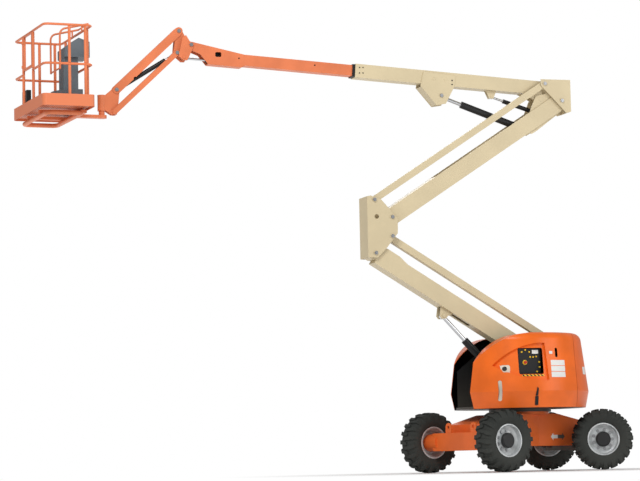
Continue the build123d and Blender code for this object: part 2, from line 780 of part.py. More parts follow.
# Mid knuckle: two plates with a front face, pins for both stages
with BuildPart() as mid_knuckle:
    for y0, t in both(KNUCKLE_IN, KNUCKLE_OUT):
        with BuildSketch(side.offset(y0)):
            with BuildLine():
                Polyline(
                    (P4[0] - 112, P4[1] - 62),
                    (P4[0] + 26, P4[1] - 62),
                    (P3[0] - 84, P3[1] - 160),
                    (P3[0] + 76, P3[1] + 40),
                    (P2[0] + 78, P2[1] - 32),
                    (P2[0] - 66, P2[1] + 140),
                    (P1[0] + 92, P1[1] + 8),
                    (P1[0] - 54, P1[1] + 56),
                    (P4[0] - 112, P1[1] + 46),
                    close=True,
                )
            make_face()
            with Locations((P4[0] + 22, P2[1] + 4)):
                Circle(32, mode=Mode.SUBTRACT)
        extrude(amount=t)
    with BuildSketch(side.offset(-KNUCKLE_IN)):
        with Locations((P4[0] - 106, (P4[1] + P1[1]) / 2 - 8)):
            Rectangle(12, P1[1] - P4[1] + 108)
    extrude(amount=2 * KNUCKLE_IN)
    for pin, y in ((P4, TOWER_HALF - 30), (P2, TOWER_HALF - 30)):
        for y0, t in both(y, KNUCKLE_OUT + 10):
            with BuildSketch(side.offset(y0)):
                with Locations(pin):
                    Circle(PIN_R)
            extrude(amount=t)
    with BuildSketch(side.offset(LINK_IN - 4)):
        with Locations(P1):
            Circle(PIN_R)
    extrude(amount=KNUCKLE_OUT + 10 - LINK_IN + 4)
    with BuildSketch(side.offset(-KNUCKLE_OUT - 10)):
        with Locations(P3):
            Circle(PIN_R)
    extrude(amount=2 * KNUCKLE_OUT + 20)
mid_knuckle.part.label = "mid_knuckle"
export_step(mid_knuckle.part, "parts/mid_knuckle.step")

# Mid boom: box arm, then a trough, then an open fork that the lift cylinder passes through
with BuildPart() as mid_boom:
    with BuildSketch(side):
        with BuildLine():
            Polyline(*band(P2, U2, TOWER_DEPTH / 2, 0, 0), close=True)
        make_face()
        with Locations(P2, U2):
            Circle(104)
    extrude(amount=TOWER_HALF, both=True)
    with BuildSketch(side):
        with BuildLine():
            Polyline(*band(P2, U2, TOWER_DEPTH / 2 - TOWER_WALL, -140, BOX_LEN - TOWER_LEN), close=True)
        make_face()
    extrude(amount=TOWER_HALF - TOWER_WALL, both=True, mode=Mode.SUBTRACT)
    with BuildSketch(side):
        with BuildLine():
            Polyline(
                along(P2, U2, BOX_LEN - 10, 200),
                along(P2, U2, BOX_LEN - 10, TOWER_WALL - TOWER_DEPTH / 2),
                along(P2, U2, OPEN_LEN, TOWER_WALL - TOWER_DEPTH / 2),
                along(P2, U2, OPEN_LEN, -200),
                along(P2, U2, TOWER_LEN + 200, -200),
                along(P2, U2, TOWER_LEN + 200, 200),
                close=True,
            )
        make_face()
    extrude(amount=TOWER_HALF - 12, both=True, mode=Mode.SUBTRACT)
    for pin in (P2, U2):
        with BuildSketch(side):
            with Locations(pin):
                Circle(PIN_R + RUN)
        extrude(amount=TOWER_HALF + 1, both=True, mode=Mode.SUBTRACT)
mid_boom.part.label = "mid_boom"
export_step(mid_boom.part, "parts/mid_boom.step")

# Top knuckle: outer plates for arm and link, inner plates for boom pivot and lift cylinder
REAR_X = U2[0] + 135
TOP_Z = U1[1] + 62
with BuildPart() as top_knuckle:
    for y0, t in both(KNUCKLE_IN, KNUCKLE_OUT):
        with BuildSketch(side.offset(y0)):
            with BuildLine():
                Polyline(
                    (U1[0] - 56, TOP_Z),
                    (REAR_X, TOP_Z),
                    (REAR_X, U2[1] - 152),
                    (U2[0] + 66, U2[1] - 172),
                    (U1[0] - 60, U1[1] - 24),
                    close=True,
                )
            make_face()
        extrude(amount=t)
    with BuildSketch(side.offset(-KNUCKLE_IN)):
        with Locations((REAR_X - 6, (TOP_Z + U2[1] - 152) / 2)):
            Rectangle(12, TOP_Z - U2[1] + 152)
    extrude(amount=2 * KNUCKLE_IN)
    for y0, t in both(INNER_IN, INNER_OUT):
        with BuildSketch(side.offset(y0)):
            with BuildLine():
                Polyline(
                    (Q[0] - 70, Q[1] + 50),
                    (Q[0] + 40, Q[1] + 70),
                    (REAR_X - 12, TOP_Z - 60),
                    (REAR_X - 12, U2[1] - 60),
                    (LIFT_BASE[0] + 110, LIFT_BASE[1] - 20),
                    (LIFT_BASE[0] + 40, LIFT_BASE[1] - 62),
                    (LIFT_BASE[0] - 50, LIFT_BASE[1] - 50),
                    (LIFT_BASE[0] - 80, LIFT_BASE[1] + 20),
                    close=True,
                )
            make_face()
        extrude(amount=t)
    for pin, y in ((U2, INNER_IN), (Q, INNER_IN - 40)):
        for y0, t in both(y, KNUCKLE_OUT + 10 if pin is U2 else INNER_OUT + 4):
            with BuildSketch(side.offset(y0)):
                with Locations(pin):
                    Circle(PIN_R)
            extrude(amount=t)
    with BuildSketch(side.offset(LINK_IN - 4)):
        with Locations(U1):
            Circle(PIN_R)
    extrude(amount=KNUCKLE_OUT + 10 - LINK_IN + 4)
    for pin in (LIFT_BASE, MASTER_BASE):
        with BuildSketch(side.offset(-INNER_OUT)):
            with Locations(pin):
                Circle(PIN_R if pin is LIFT_BASE else LEVEL_PIN_R)
        extrude(amount=2 * INNER_OUT)
top_knuckle.part.label = "top_knuckle"
export_step(top_knuckle.part, "parts/top_knuckle.step")

# Axis of the upper boom in the side view, measured outward from above the pivot
BOOM_DIR = (-math.cos(math.radians(BOOM_ANGLE)), math.sin(math.radians(BOOM_ANGLE)))
BOOM_UP = (math.sin(math.radians(BOOM_ANGLE)), math.cos(math.radians(BOOM_ANGLE)))


def boom_point(x, perp):
    """Point of the boom at plan place x and perp above its axis."""
    s = (Q[0] + AXIS_OFF * BOOM_UP[0] - x) / -BOOM_DIR[0]
    return (
        Q[0] + AXIS_OFF * BOOM_UP[0] + s * BOOM_DIR[0] + perp * BOOM_UP[0],
        Q[1] + AXIS_OFF * BOOM_UP[1] + s * BOOM_DIR[1] + perp * BOOM_UP[1],
    )


# Base boom: tube with tail plates, lift bracket and level bracket
with BuildPart() as base_boom:
    with BuildSketch(side):
        with BuildLine():
            Polyline(
                boom_point(BOOM_TAIL, BOOM_D / 2),
                boom_point(BOOM_MOUTH, BOOM_D / 2),
                boom_point(BOOM_MOUTH, -BOOM_D / 2),
                boom_point(BOOM_TAIL, -BOOM_D / 2),
                close=True,
            )
        make_face()
    extrude(amount=BOOM_W / 2, both=True)
    with BuildSketch(side):
        with BuildLine():
            Polyline(
                boom_point(BOOM_TAIL - 20, BOOM_D / 2 - BOOM_WALL),
                boom_point(BOOM_MOUTH - 10, BOOM_D / 2 - BOOM_WALL),
                boom_point(BOOM_MOUTH - 10, -BOOM_D / 2 + BOOM_WALL),
                boom_point(BOOM_TAIL - 20, -BOOM_D / 2 + BOOM_WALL),
                close=True,
            )
        make_face()
    extrude(amount=BOOM_W / 2 - BOOM_WALL, both=True, mode=Mode.SUBTRACT)
    for y0, t in both(62, 92):
        with BuildSketch(side.offset(y0)):
            with BuildLine():
                Polyline(
                    boom_point(BOOM_TAIL - 2, -BOOM_D / 2 + 4),
                    boom_point(BOOM_TAIL - 320, -BOOM_D / 2 + 4),
                    (Q[0] - 40, Q[1] - 30),
                    (Q[0], Q[1] - 50),
                    (Q[0] + 38, Q[1] - 30),
                    close=True,
                )
            make_face()
            with Locations(Q):
                Circle(PIN_R + RUN, mode=Mode.SUBTRACT)
        extrude(amount=t)
    for y0, t in both(BOOM_W / 2 - 2, BOOM_W / 2 + 10):
        with BuildSketch(side.offset(y0)):
            with BuildLine():
                Polyline(
                    (LIFT_PIN[0] - 256, LIFT_PIN[1] + 328),
                    (LIFT_PIN[0] + 217, LIFT_PIN[1] + 276),
                    (LIFT_PIN[0] + 190, LIFT_PIN[1] + 120),
                    (LIFT_PIN[0] + 60, LIFT_PIN[1] - 118),
                    (LIFT_PIN[0] - 80, LIFT_PIN[1] - 140),
                    (LIFT_PIN[0] - 306, LIFT_PIN[1] + 120),
                    close=True,
                )
            make_face()
        extrude(amount=t)
    with BuildSketch(side):
        with BuildLine():
            Polyline(*band(plus(LIFT_PIN, (-296, 116)), plus(LIFT_PIN, (-76, -130)), 5), close=True)
        make_face()
    extrude(amount=BOOM_W / 2 + 4, both=True)
    for y0, t in both(70, BOOM_W / 2 + 16):
        with BuildSketch(side.offset(y0)):
            with Locations(LIFT_PIN):
                Circle(PIN_R)
        extrude(amount=t)
    for y0, t in both(24, 34):
        with BuildSketch(side.offset(y0)):
            with BuildLine():
                Polyline(
                    boom_point(MASTER_PIN[0] - 80, -BOOM_D / 2 + 4),
                    boom_point(MASTER_PIN[0] + 80, -BOOM_D / 2 + 4),
                    (MASTER_PIN[0] + 30, MASTER_PIN[1] - 26),
                    (MASTER_PIN[0] - 30, MASTER_PIN[1] - 26),
                    close=True,
                )
            make_face()
        extrude(amount=t)
    for y0, t in both(34, 42):
        with BuildSketch(side.offset(y0)):
            with Locations(MASTER_PIN):
                Circle(LEVEL_PIN_R)
        extrude(amount=t)
base_boom.part.label = "base_boom"
export_step(base_boom.part, "parts/base_boom.step")

# Wear pads and collar at the mouth of the base boom
with BuildPart() as boom_collar:
    mouth = Plane(
        origin=(SWING_X + boom_point(BOOM_MOUTH + 60, 0)[0], SWING_Y, boom_point(BOOM_MOUTH + 60, 0)[1]),
        x_dir=(0, 1, 0),
        z_dir=(BOOM_DIR[0], 0, BOOM_DIR[1]),
    )
    with BuildSketch(mouth):
        Rectangle(BOOM_W - 2 * BOOM_WALL - 0.6, BOOM_D - 2 * BOOM_WALL - 0.6)
        Rectangle(FLY_W + 2 * RUN, FLY_D + 2 * RUN, mode=Mode.SUBTRACT)
    extrude(amount=100)
boom_collar.part.label = "boom_collar"
export_step(boom_collar.part, "parts/boom_collar.step")

# Fly boom: tube with a tapered nose
NOSE = (
    (FLY_FRONT + 2, boom_point(FLY_FRONT, FLY_D / 2)[1]),
    (J3[0] + 10, J3[1] + 44),
    (J3[0] - 30, J3[1] + 30),
    (J3[0] - 42, J3[1] - 6),
    (J3[0] - 30, J3[1] - 44),
    (J3[0] + 6, J3[1] - 76),
    (J3[0] + 128, J3[1] - 123),
    (J3[0] + 240, J3[1] - 257),
    (FLY_FRONT - 40, J3[1] - 286),
    (FLY_FRONT + 2, boom_point(FLY_FRONT, -FLY_D / 2)[1]),
)
NOSE_IN = (
    (FLY_FRONT + 40, boom_point(FLY_FRONT, FLY_D / 2 - 10)[1]),
    (J3[0] + 110, J3[1] + 14),
    (J3[0] - 100, J3[1] - 120),
    (J3[0] + 200, J3[1] - 400),
    (J3[0] + 236, J3[1] - 246),
    (FLY_FRONT - 40, J3[1] - 274),
    (FLY_FRONT + 40, boom_point(FLY_FRONT, -FLY_D / 2 + 10)[1]),
)
with BuildPart() as fly_boom:
    with BuildSketch(side):
        with BuildLine():
            Polyline(
                boom_point(FLY_REAR, FLY_D / 2),
                boom_point(FLY_FRONT, FLY_D / 2),
                boom_point(FLY_FRONT, -FLY_D / 2),
                boom_point(FLY_REAR, -FLY_D / 2),
                close=True,
            )
        make_face()
    extrude(amount=FLY_W / 2, both=True)
    with BuildSketch(side):
        with BuildLine():
            Polyline(*NOSE, close=True)
        make_face()
    extrude(amount=FLY_W / 2, both=True)
    with BuildSketch(side):
        with BuildLine():
            Polyline(
                boom_point(FLY_REAR + 10, FLY_D / 2 - FLY_WALL),
                boom_point(FLY_FRONT - 60, FLY_D / 2 - FLY_WALL),
                boom_point(FLY_FRONT - 60, -FLY_D / 2 + FLY_WALL),
                boom_point(FLY_REAR + 10, -FLY_D / 2 + FLY_WALL),
                close=True,
            )
        make_face()
    extrude(amount=FLY_W / 2 - FLY_WALL, both=True, mode=Mode.SUBTRACT)
    with BuildSketch(side):
        with BuildLine():
            Polyline(*NOSE_IN, close=True)
        make_face()
    extrude(amount=FLY_W / 2 - FLY_WALL, both=True, mode=Mode.SUBTRACT)
    with BuildSketch(side):
        with Locations(J3):
            Circle(JIB_PIN_R + RUN)
        with Locations((J3[0] + 380, J3[1] - 120)):
            RectangleRounded(86, 66, 20)
    extrude(amount=FLY_W, both=True, mode=Mode.SUBTRACT)
fly_boom.part.label = "fly_boom"
export_step(fly_boom.part, "parts/fly_boom.step")

# Nose bracket: outer plates on the fly pivot, inner plates on the jib pins
with BuildPart() as nose_bracket:
    for y0, t in both(NOSE_PLATE_IN, NOSE_PLATE_OUT):
        with BuildSketch(side.offset(y0)):
            with BuildLine():
                Polyline(
                    (J3[0] - 70, J3[1] + 130),
                    (J3[0] - 20, J3[1] + 50),
                    (J3[0] + 40, J3[1] + 10),
                    (J3[0] + 26, J3[1] - 36),
                    (J4[0] + 62, J4[1] - 10),
                    (J4[0] + 40, J4[1] - 42),
                    (J4[0] - 10, J4[1] - 42),
                    (J4[0] - 74, J4[1] + 14),
                    (J3[0] - 120, J3[1] + 90),
                    close=True,
                )
            make_face()
        extrude(amount=t)
    for y0, t in both(JIB_PLATE_IN, JIB_PLATE_OUT):
        with BuildSketch(side.offset(y0)):
            with BuildLine():
                Polyline(
                    (J1[0] - 40, J1[1] + 10),
                    (J1[0] - 10, J1[1] + 44),
                    (J1[0] + 30, J1[1] + 34),
                    (J3[0] - 66, J3[1] + 110),
                    (J4[0] + 34, J4[1] + 20),
                    (J4[0] + 30, J4[1] - 26),
                    (J4[0] - 20, J4[1] - 36),
                    (J2[0] + 20, J2[1] - 44),
                    (J2[0] - 36, J2[1] - 20),
                    (J2[0] - 40, J2[1] + 30),
                    close=True,
                )
            make_face()
        extrude(amount=t)
    for y0, t in both(JIB_PLATE_IN, NOSE_PLATE_OUT):
        with BuildSketch(side.offset(y0)):
            with BuildLine():
                Polyline(
                    (J3[0] - 84, J3[1] + 100),
                    (J3[0] - 68, J3[1] + 100),
                    (J4[0] + 10, J4[1] + 40),
                    (J4[0] - 10, J4[1] + 40),
                    close=True,
                )
            make_face()
        extrude(amount=t)
    for pin, y0, y1 in (
        (J3, FLY_W / 2 - 10, NOSE_PLATE_OUT + 8),
        (J1, JIB_PLATE_IN, JIB_ARM_OUT + 3),
        (J2, JIB_PLATE_IN, JIB_LINK_OUT + 4),
        (J4, JIB_PLATE_IN - 4, JIB_PLATE_OUT + 4),
        (J4, NOSE_PLATE_IN, NOSE_PLATE_OUT + 8),
    ):
        for ya, t in both(y0, y1):
            with BuildSketch(side.offset(ya)):
                with Locations(pin):
                    Circle(JIB_PIN_R)
            extrude(amount=t)
    with BuildSketch(side.offset(-JIB_PLATE_IN)):
        with BuildLine():
            Polyline(*band((J1[0] + 8, J1[1] + 22), (J3[0] - 70, J3[1] + 118), 5), close=True)
        make_face()
    extrude(amount=2 * JIB_PLATE_IN)
nose_bracket.part.label = "nose_bracket"
export_step(nose_bracket.part, "parts/nose_bracket.step")

# Jib arm: inverted channel on the upper pins
with BuildPart() as jib_arm:
    with BuildSketch(side):
        with BuildLine():
            Polyline(*band(J5, J1, JIB_ARM_D / 2), close=True)
        make_face()
        with Locations(J1, J5):
            Circle(JIB_ARM_D / 2 - 4)
    extrude(amount=JIB_ARM_OUT, both=True)
    with BuildSketch(side):
        with BuildLine():
            Polyline(
                along(J5, J1, -90, -200),
                along(J5, J1, dist(J1, J5) + 90, -200),
                along(J5, J1, dist(J1, J5) + 90, 90),
                along(J5, J1, dist(J1, J5) - 90, 90),
                along(J5, J1, dist(J1, J5) - 90, JIB_ARM_D / 2 - 8),
                along(J5, J1, 90, JIB_ARM_D / 2 - 8),
                along(J5, J1, 90, 90),
                along(J5, J1, -90, 90),
                close=True,
            )
        make_face()
    extrude(amount=JIB_ARM_IN, both=True, mode=Mode.SUBTRACT)
    relief = polar(J5, dist(J5, J6), angle_of(J5, J6) + JIB_RAISE)
    with BuildSketch(side):
        with Locations(J1, J5):
            Circle(JIB_PIN_R + RUN)
        with Locations(relief):
            Circle(JIB_PIN_R + 7)
    extrude(amount=JIB_ARM_OUT + 1, both=True, mode=Mode.SUBTRACT)
jib_arm.part.label = "jib_arm"
export_step(jib_arm.part, "parts/jib_arm.step")

# Jib link: a pair of bars on the lower pins, tied by a cross tube
with BuildPart() as jib_link:
    for y0, t in both(JIB_LINK_IN, JIB_LINK_OUT):
        with BuildSketch(side.offset(y0)):
            with BuildLine():
                Polyline(*band(J6, J2, JIB_LINK_D / 2), close=True)
            make_face()
            with Locations(J2, J6):
                Circle(JIB_LINK_D / 2)
            with Locations(J2, J6):
                Circle(JIB_PIN_R + RUN, mode=Mode.SUBTRACT)
        extrude(amount=t)
jib_link.part.label = "jib_link"
export_step(jib_link.part, "parts/jib_link.step")

# Jib end: plates on the outer pins and the housing of the rotator
with BuildPart() as jib_end:
    for y0, t in both(JIB_PLATE_IN, JIB_PLATE_OUT):
        with BuildSketch(side.offset(y0)):
            with BuildLine():
                Polyline(
                    (J5[0] - 40, J5[1] + 24),
                    (J5[0] + 10, J5[1] + 40),
                    (J5[0] + 42, J5[1] + 4),
                    (J6[0] + 46, J6[1] + 20),
                    (J6[0] + 30, J6[1] - 36),
                    (J6[0] - 40, J6[1] - 36),
                    (ROTATOR_X + 20, ROTATOR_Z0 + 20),
                    (ROTATOR_X + 20, ROTATOR_Z1 - 20),
                    close=True,
                )
            make_face()
        extrude(amount=t)
    for pin, y0, y1 in ((J5, 10, JIB_ARM_OUT + 3), (J6, JIB_PLATE_IN, JIB_LINK_OUT + 4)):
        for ya, t in both(y0, y1):
            with BuildSketch(side.offset(ya)):
                with Locations(pin):
                    Circle(JIB_PIN_R)
            extrude(amount=t)
    with BuildSketch(deck.offset(ROTATOR_Z0)):
        with Locations((ROTATOR_X, 0)):
            Circle(ROTATOR_R)
    extrude(amount=ROTATOR_Z1 - ROTATOR_Z0)
jib_end.part.label = "jib_end"
export_step(jib_end.part, "parts/jib_end.step")

# Platform floor: a plate between toe boards with rounded corners
X0 = -PLATFORM_IN - PLATFORM_D
X1 = -PLATFORM_IN
XM = (X0 + X1) / 2
SIDE_LEN = PLATFORM_D - 2 * TOE_ROUND - 2 * SPLIT
LONG_LEN = 2 * PLATFORM_HALF - 2 * TOE_ROUND - 2 * SPLIT
with BuildPart() as platform_floor:
    with BuildSketch(basket.offset(PLATFORM_Z + FLOOR_RAISE)):
        with Locations((XM, 0)):
            RectangleRounded(
                PLATFORM_D - 2 * TOE_T - 2 * SPLIT,
                2 * PLATFORM_HALF - 2 * TOE_T - 2 * SPLIT,
                TOE_ROUND - TOE_T - SPLIT,
            )
    extrude(amount=FLOOR_T)
    with BuildSketch(basket.offset(PLATFORM_Z)):
        for sx in (-1, 1):
            with Locations((XM + sx * (PLATFORM_D - TOE_T) / 2, 0)):
                Rectangle(TOE_T, LONG_LEN)
        for sy in (-1, 1):
            with Locations((XM, sy * (PLATFORM_HALF - TOE_T / 2))):
                Rectangle(SIDE_LEN, TOE_T)
    extrude(amount=TOE_H)
    for sx in (-1, 1):
        for sy in (-1, 1):
            corner = (XM + sx * (PLATFORM_D / 2 - TOE_ROUND), sy * (PLATFORM_HALF - TOE_ROUND))
            with BuildSketch(basket.offset(PLATFORM_Z)):
                with Locations(corner):
                    Circle(TOE_ROUND)
                    Circle(TOE_ROUND - TOE_T, mode=Mode.SUBTRACT)
                with Locations((corner[0] + sx * TOE_ROUND / 2, corner[1] + sy * TOE_ROUND / 2)):
                    Rectangle(TOE_ROUND, TOE_ROUND, mode=Mode.INTERSECT)
            extrude(amount=TOE_H)
platform_floor.part.label = "platform_floor"
export_step(platform_floor.part, "parts/platform_floor.step")

# Platform mount: arm from the rotator shaft, beams and a bent tube loop under the floor
LOOP_X0 = X0 + 100
LOOP_X1 = X1 - 140
LOOP_Y = 620.0
LOOP_Z = PLATFORM_Z - BEAM_T - 2 * SPLIT - LOOP_R
with BuildPart() as platform_mount:
    with BuildSketch(basket.offset(PLATFORM_Z - BEAM_T - SPLIT)):
        with Locations((X1 - 60, 0)):
            Rectangle(70, 900)
        with Locations(((X1 - 25 + SPLIT) / 2, 0)):
            Rectangle(-X1 + 25 - SPLIT, 110)
        Circle(66)
        with Locations(((XM - 280 + X1 - 95 - SPLIT) / 2, -300), ((XM - 280 + X1 - 95 - SPLIT) / 2, 300)):
            Rectangle(X1 - 95 - SPLIT - XM + 280, 70)
    extrude(amount=BEAM_T)
    with BuildSketch(basket.offset(PLATFORM_Z - SPLIT - 2)):
        Circle(40)
    extrude(amount=ROTATOR_Z0 - PLATFORM_Z + SPLIT + 2 - RUN)
    for x0, y0, x1, y1 in (
        (LOOP_X1, LOOP_Y - LOOP_BEND - SPLIT, LOOP_X1, -LOOP_Y + LOOP_BEND + SPLIT),
        (LOOP_X1 - LOOP_BEND - SPLIT, -LOOP_Y, LOOP_X0 + LOOP_BEND + SPLIT, -LOOP_Y),
        (LOOP_X0, -LOOP_Y + LOOP_BEND + SPLIT, LOOP_X0, LOOP_Y - LOOP_BEND - SPLIT),
        (LOOP_X0 + LOOP_BEND + SPLIT, LOOP_Y, LOOP_X1 - LOOP_BEND - SPLIT, LOOP_Y),
    ):
        a = basket.from_local_coords(Vector(x0, y0, LOOP_Z))
        b = basket.from_local_coords(Vector(x1, y1, LOOP_Z))
        with BuildSketch(Plane(origin=a, z_dir=b - a)):
            Circle(LOOP_R)
        extrude(amount=(b - a).length)
    for x, y, start in (
        (LOOP_X1 - LOOP_BEND, -LOOP_Y + LOOP_BEND, 270),
        (LOOP_X0 + LOOP_BEND, -LOOP_Y + LOOP_BEND, 180),
        (LOOP_X0 + LOOP_BEND, LOOP_Y - LOOP_BEND, 90),
        (LOOP_X1 - LOOP_BEND, LOOP_Y - LOOP_BEND, 0),
    ):
        c = basket.from_local_coords(Vector(x, y, LOOP_Z))
        t = math.radians(start + PLATFORM_YAW)
        ray = Vector(math.cos(t), math.sin(t), 0)
        with BuildSketch(Plane(origin=c + ray * LOOP_BEND, z_dir=(-math.sin(t), math.cos(t), 0))):
            Circle(LOOP_R)
        revolve(axis=Axis(c, (0, 0, 1)), revolution_arc=90)
platform_mount.part.label = "platform_mount"
export_step(platform_mount.part, "parts/platform_mount.step")

# Rails: two hoops of straight tubes and bends, with posts between them, open at the gate
GATE_Y0 = -190.0
GATE_Y1 = 310.0
RX0 = X0 + 30
RX1 = X1 - 30
RY = PLATFORM_HALF - 30
RC = 70.0
POSTS = (
    (RX0, GATE_Y0),
    (RX0, GATE_Y1),
    (XM + 15, -RY),
    (RX1 - RC - 20, -RY),
    (XM + 15, RY),
    (RX1 - RC - 20, RY),
    (RX1, -520),
    (RX1, 520),
)
with BuildPart() as platform_rails:
    for z in (RAIL_TOP, RAIL_MID):
        for x0, y0, x1, y1 in (
            (RX0, GATE_Y0 + POST_R, RX0, -RY + RC + SPLIT),
            (RX0 + RC + SPLIT, -RY, RX1 - RC - SPLIT, -RY),
            (RX1, -RY + RC + SPLIT, RX1, RY - RC - SPLIT),
            (RX1 - RC - SPLIT, RY, RX0 + RC + SPLIT, RY),
            (RX0, RY - RC - SPLIT, RX0, GATE_Y1 - POST_R),
        ):
            a = basket.from_local_coords(Vector(x0, y0, z))
            b = basket.from_local_coords(Vector(x1, y1, z))
            with BuildSketch(Plane(origin=a, z_dir=b - a)):
                Circle(RAIL_R)
            extrude(amount=(b - a).length)
        for x, y, start in (
            (RX1 - RC, -RY + RC, 270),
            (RX0 + RC, -RY + RC, 180),
            (RX0 + RC, RY - RC, 90),
            (RX1 - RC, RY - RC, 0),
        ):
            c = basket.from_local_coords(Vector(x, y, z))
            t = math.radians(start + PLATFORM_YAW)
            ray = Vector(math.cos(t), math.sin(t), 0)
            with BuildSketch(Plane(origin=c + ray * RC, z_dir=(-math.sin(t), math.cos(t), 0))):
                Circle(RAIL_R)
            revolve(axis=Axis(c, (0, 0, 1)), revolution_arc=90)
    for z0, z1 in ((PLATFORM_Z + FLOOR_RAISE + FLOOR_T, RAIL_MID - RAIL_R), (RAIL_MID + RAIL_R, RAIL_TOP - RAIL_R)):
        for place in POSTS:
            with BuildSketch(basket.offset(z0 + SPLIT)):
                with Locations(place):
                    Circle(POST_R)
            extrude(amount=z1 - z0 - 2 * SPLIT)
platform_rails.part.label = "platform_rails"
export_step(platform_rails.part, "parts/platform_rails.step")

# Gate: a tube frame hung on the far post, swinging inward
gate_plane = Plane(
    origin=basket.from_local_coords((RX0, 0, 0)),
    x_dir=(-math.sin(yaw), math.cos(yaw), 0),
    z_dir=(math.cos(yaw), math.sin(yaw), 0),
)
with BuildPart() as gate:
    with BuildSketch(gate_plane):
        with BuildLine():
            Polyline(
                (GATE_Y0 + 26, RAIL_MID + 40),
                (GATE_Y1 - 40, RAIL_MID + 40),
                (GATE_Y1 - 40, RAIL_TOP + 8),
                (GATE_Y0 + 26, RAIL_TOP + 8),
                close=True,
            )
        make_face()
        with BuildLine():
            Polyline(
                (GATE_Y0 + 56, RAIL_MID + 70),
                (GATE_Y1 - 70, RAIL_MID + 70),
                (GATE_Y1 - 70, RAIL_TOP - 22),
                (GATE_Y0 + 56, RAIL_TOP - 22),
                close=True,
            )
        make_face(mode=Mode.SUBTRACT)
    extrude(amount=14, both=True)
    for z in (RAIL_MID + 90, RAIL_TOP - 100):
        with BuildSketch(basket.offset(z)):
            with Locations((RX0, GATE_Y1 - 26)):
                Rectangle(20, 44)
            with Locations((RX0, GATE_Y1)):
                Circle(POST_R + 9)
            with Locations((RX0, GATE_Y1)):
                Circle(POST_R + RUN, mode=Mode.SUBTRACT)
        extrude(amount=30)
gate.part.label = "gate"
export_step(gate.part, "parts/gate.step")

# Control console: box over the inner rail on a pedestal, with a foot shield
with BuildPart() as console:
    with BuildSketch(basket_side.offset(-CONSOLE_Y - 180)):
        with BuildLine():
            Polyline(
                (X1 - 250, RAIL_TOP - 330),
                (X1 + 90, RAIL_TOP - 330),
                (X1 + 90, RAIL_TOP - 120),
                (X1 - 60, RAIL_TOP - 70),
                (X1 - 250, RAIL_TOP - 210),
                close=True,
            )
        make_face()
    extrude(amount=360)
    with BuildSketch(basket.offset(PLATFORM_Z + 34.3)):
        with Locations((X1 - 47.3 - 105, CONSOLE_Y)):
            RectangleRounded(210, 230, 20)
    extrude(amount=RAIL_TOP - 325 - PLATFORM_Z - 34.3)
    with BuildSketch(basket.offset(PLATFORM_Z + 34.3)):
        with BuildLine():
            ThreePointArc((X1 - 52, CONSOLE_Y - 330), (X1 - 390, CONSOLE_Y), (X1 - 52, CONSOLE_Y + 330))
            Line((X1 - 52, CONSOLE_Y + 330), (X1 - 60, CONSOLE_Y + 326))
            ThreePointArc((X1 - 60, CONSOLE_Y + 326), (X1 - 384, CONSOLE_Y), (X1 - 60, CONSOLE_Y - 326))
            Line((X1 - 60, CONSOLE_Y - 326), (X1 - 52, CONSOLE_Y - 330))
        make_face()
    extrude(amount=250)
    with BuildSketch(basket.offset(PLATFORM_Z + 34.3 + 220)):
        with BuildLine():
            ThreePointArc((X1 - 60, CONSOLE_Y - 328), (X1 - 387, CONSOLE_Y), (X1 - 60, CONSOLE_Y + 328))
            Line((X1 - 60, CONSOLE_Y + 328), (X1 - 60, CONSOLE_Y - 328))
        make_face()
    extrude(amount=30)
console.part.label = "console"
export_step(console.part, "parts/console.step")

# Hoops that guard the console: posts at both sides bent over it
with BuildPart() as console_guard:
    for y in (CONSOLE_Y - 230, CONSOLE_Y + 230):
        with BuildLine(basket_side.offset(-y)) as hoop:
            FilletPolyline(
                (X1 - 330, RAIL_MID + 6),
                (X1 - 330, RAIL_TOP + 20),
                (X1 + 60, RAIL_TOP + 110),
                radius=90,
            )
        foot = basket_side.offset(-y).from_local_coords((X1 - 330, RAIL_MID + 6))
        with BuildSketch(Plane(origin=foot, z_dir=(0, 0, 1))):
            Circle(GUARD_R)
        sweep(path=hoop.wire())
    with BuildSketch(basket_side.offset(-CONSOLE_Y - 230)):
        with Locations((X1 - 330, RAIL_MID + 6 + GUARD_R), (X1 + 56, RAIL_TOP + 109)):
            Circle(GUARD_R - 2)
    extrude(amount=460)
    for y in (CONSOLE_Y - 230, CONSOLE_Y + 230):
        with BuildSketch(basket.offset(RAIL_TOP + RAIL_R + SPLIT)):
            with Locations((RX1, y)):
                Circle(GUARD_R - 2)
        extrude(amount=72)
console_guard.part.label = "console_guard"
export_step(console_guard.part, "parts/console_guard.step")

# Document box behind the gate, on the floor
with BuildPart() as document_box:
    with BuildSketch(basket.offset(PLATFORM_Z + 34.3)):
        with Locations((X0 + 110, 470)):
            Rectangle(60, 240)
    extrude(amount=330)
document_box.part.label = "document_box"
export_step(document_box.part, "parts/document_box.step")

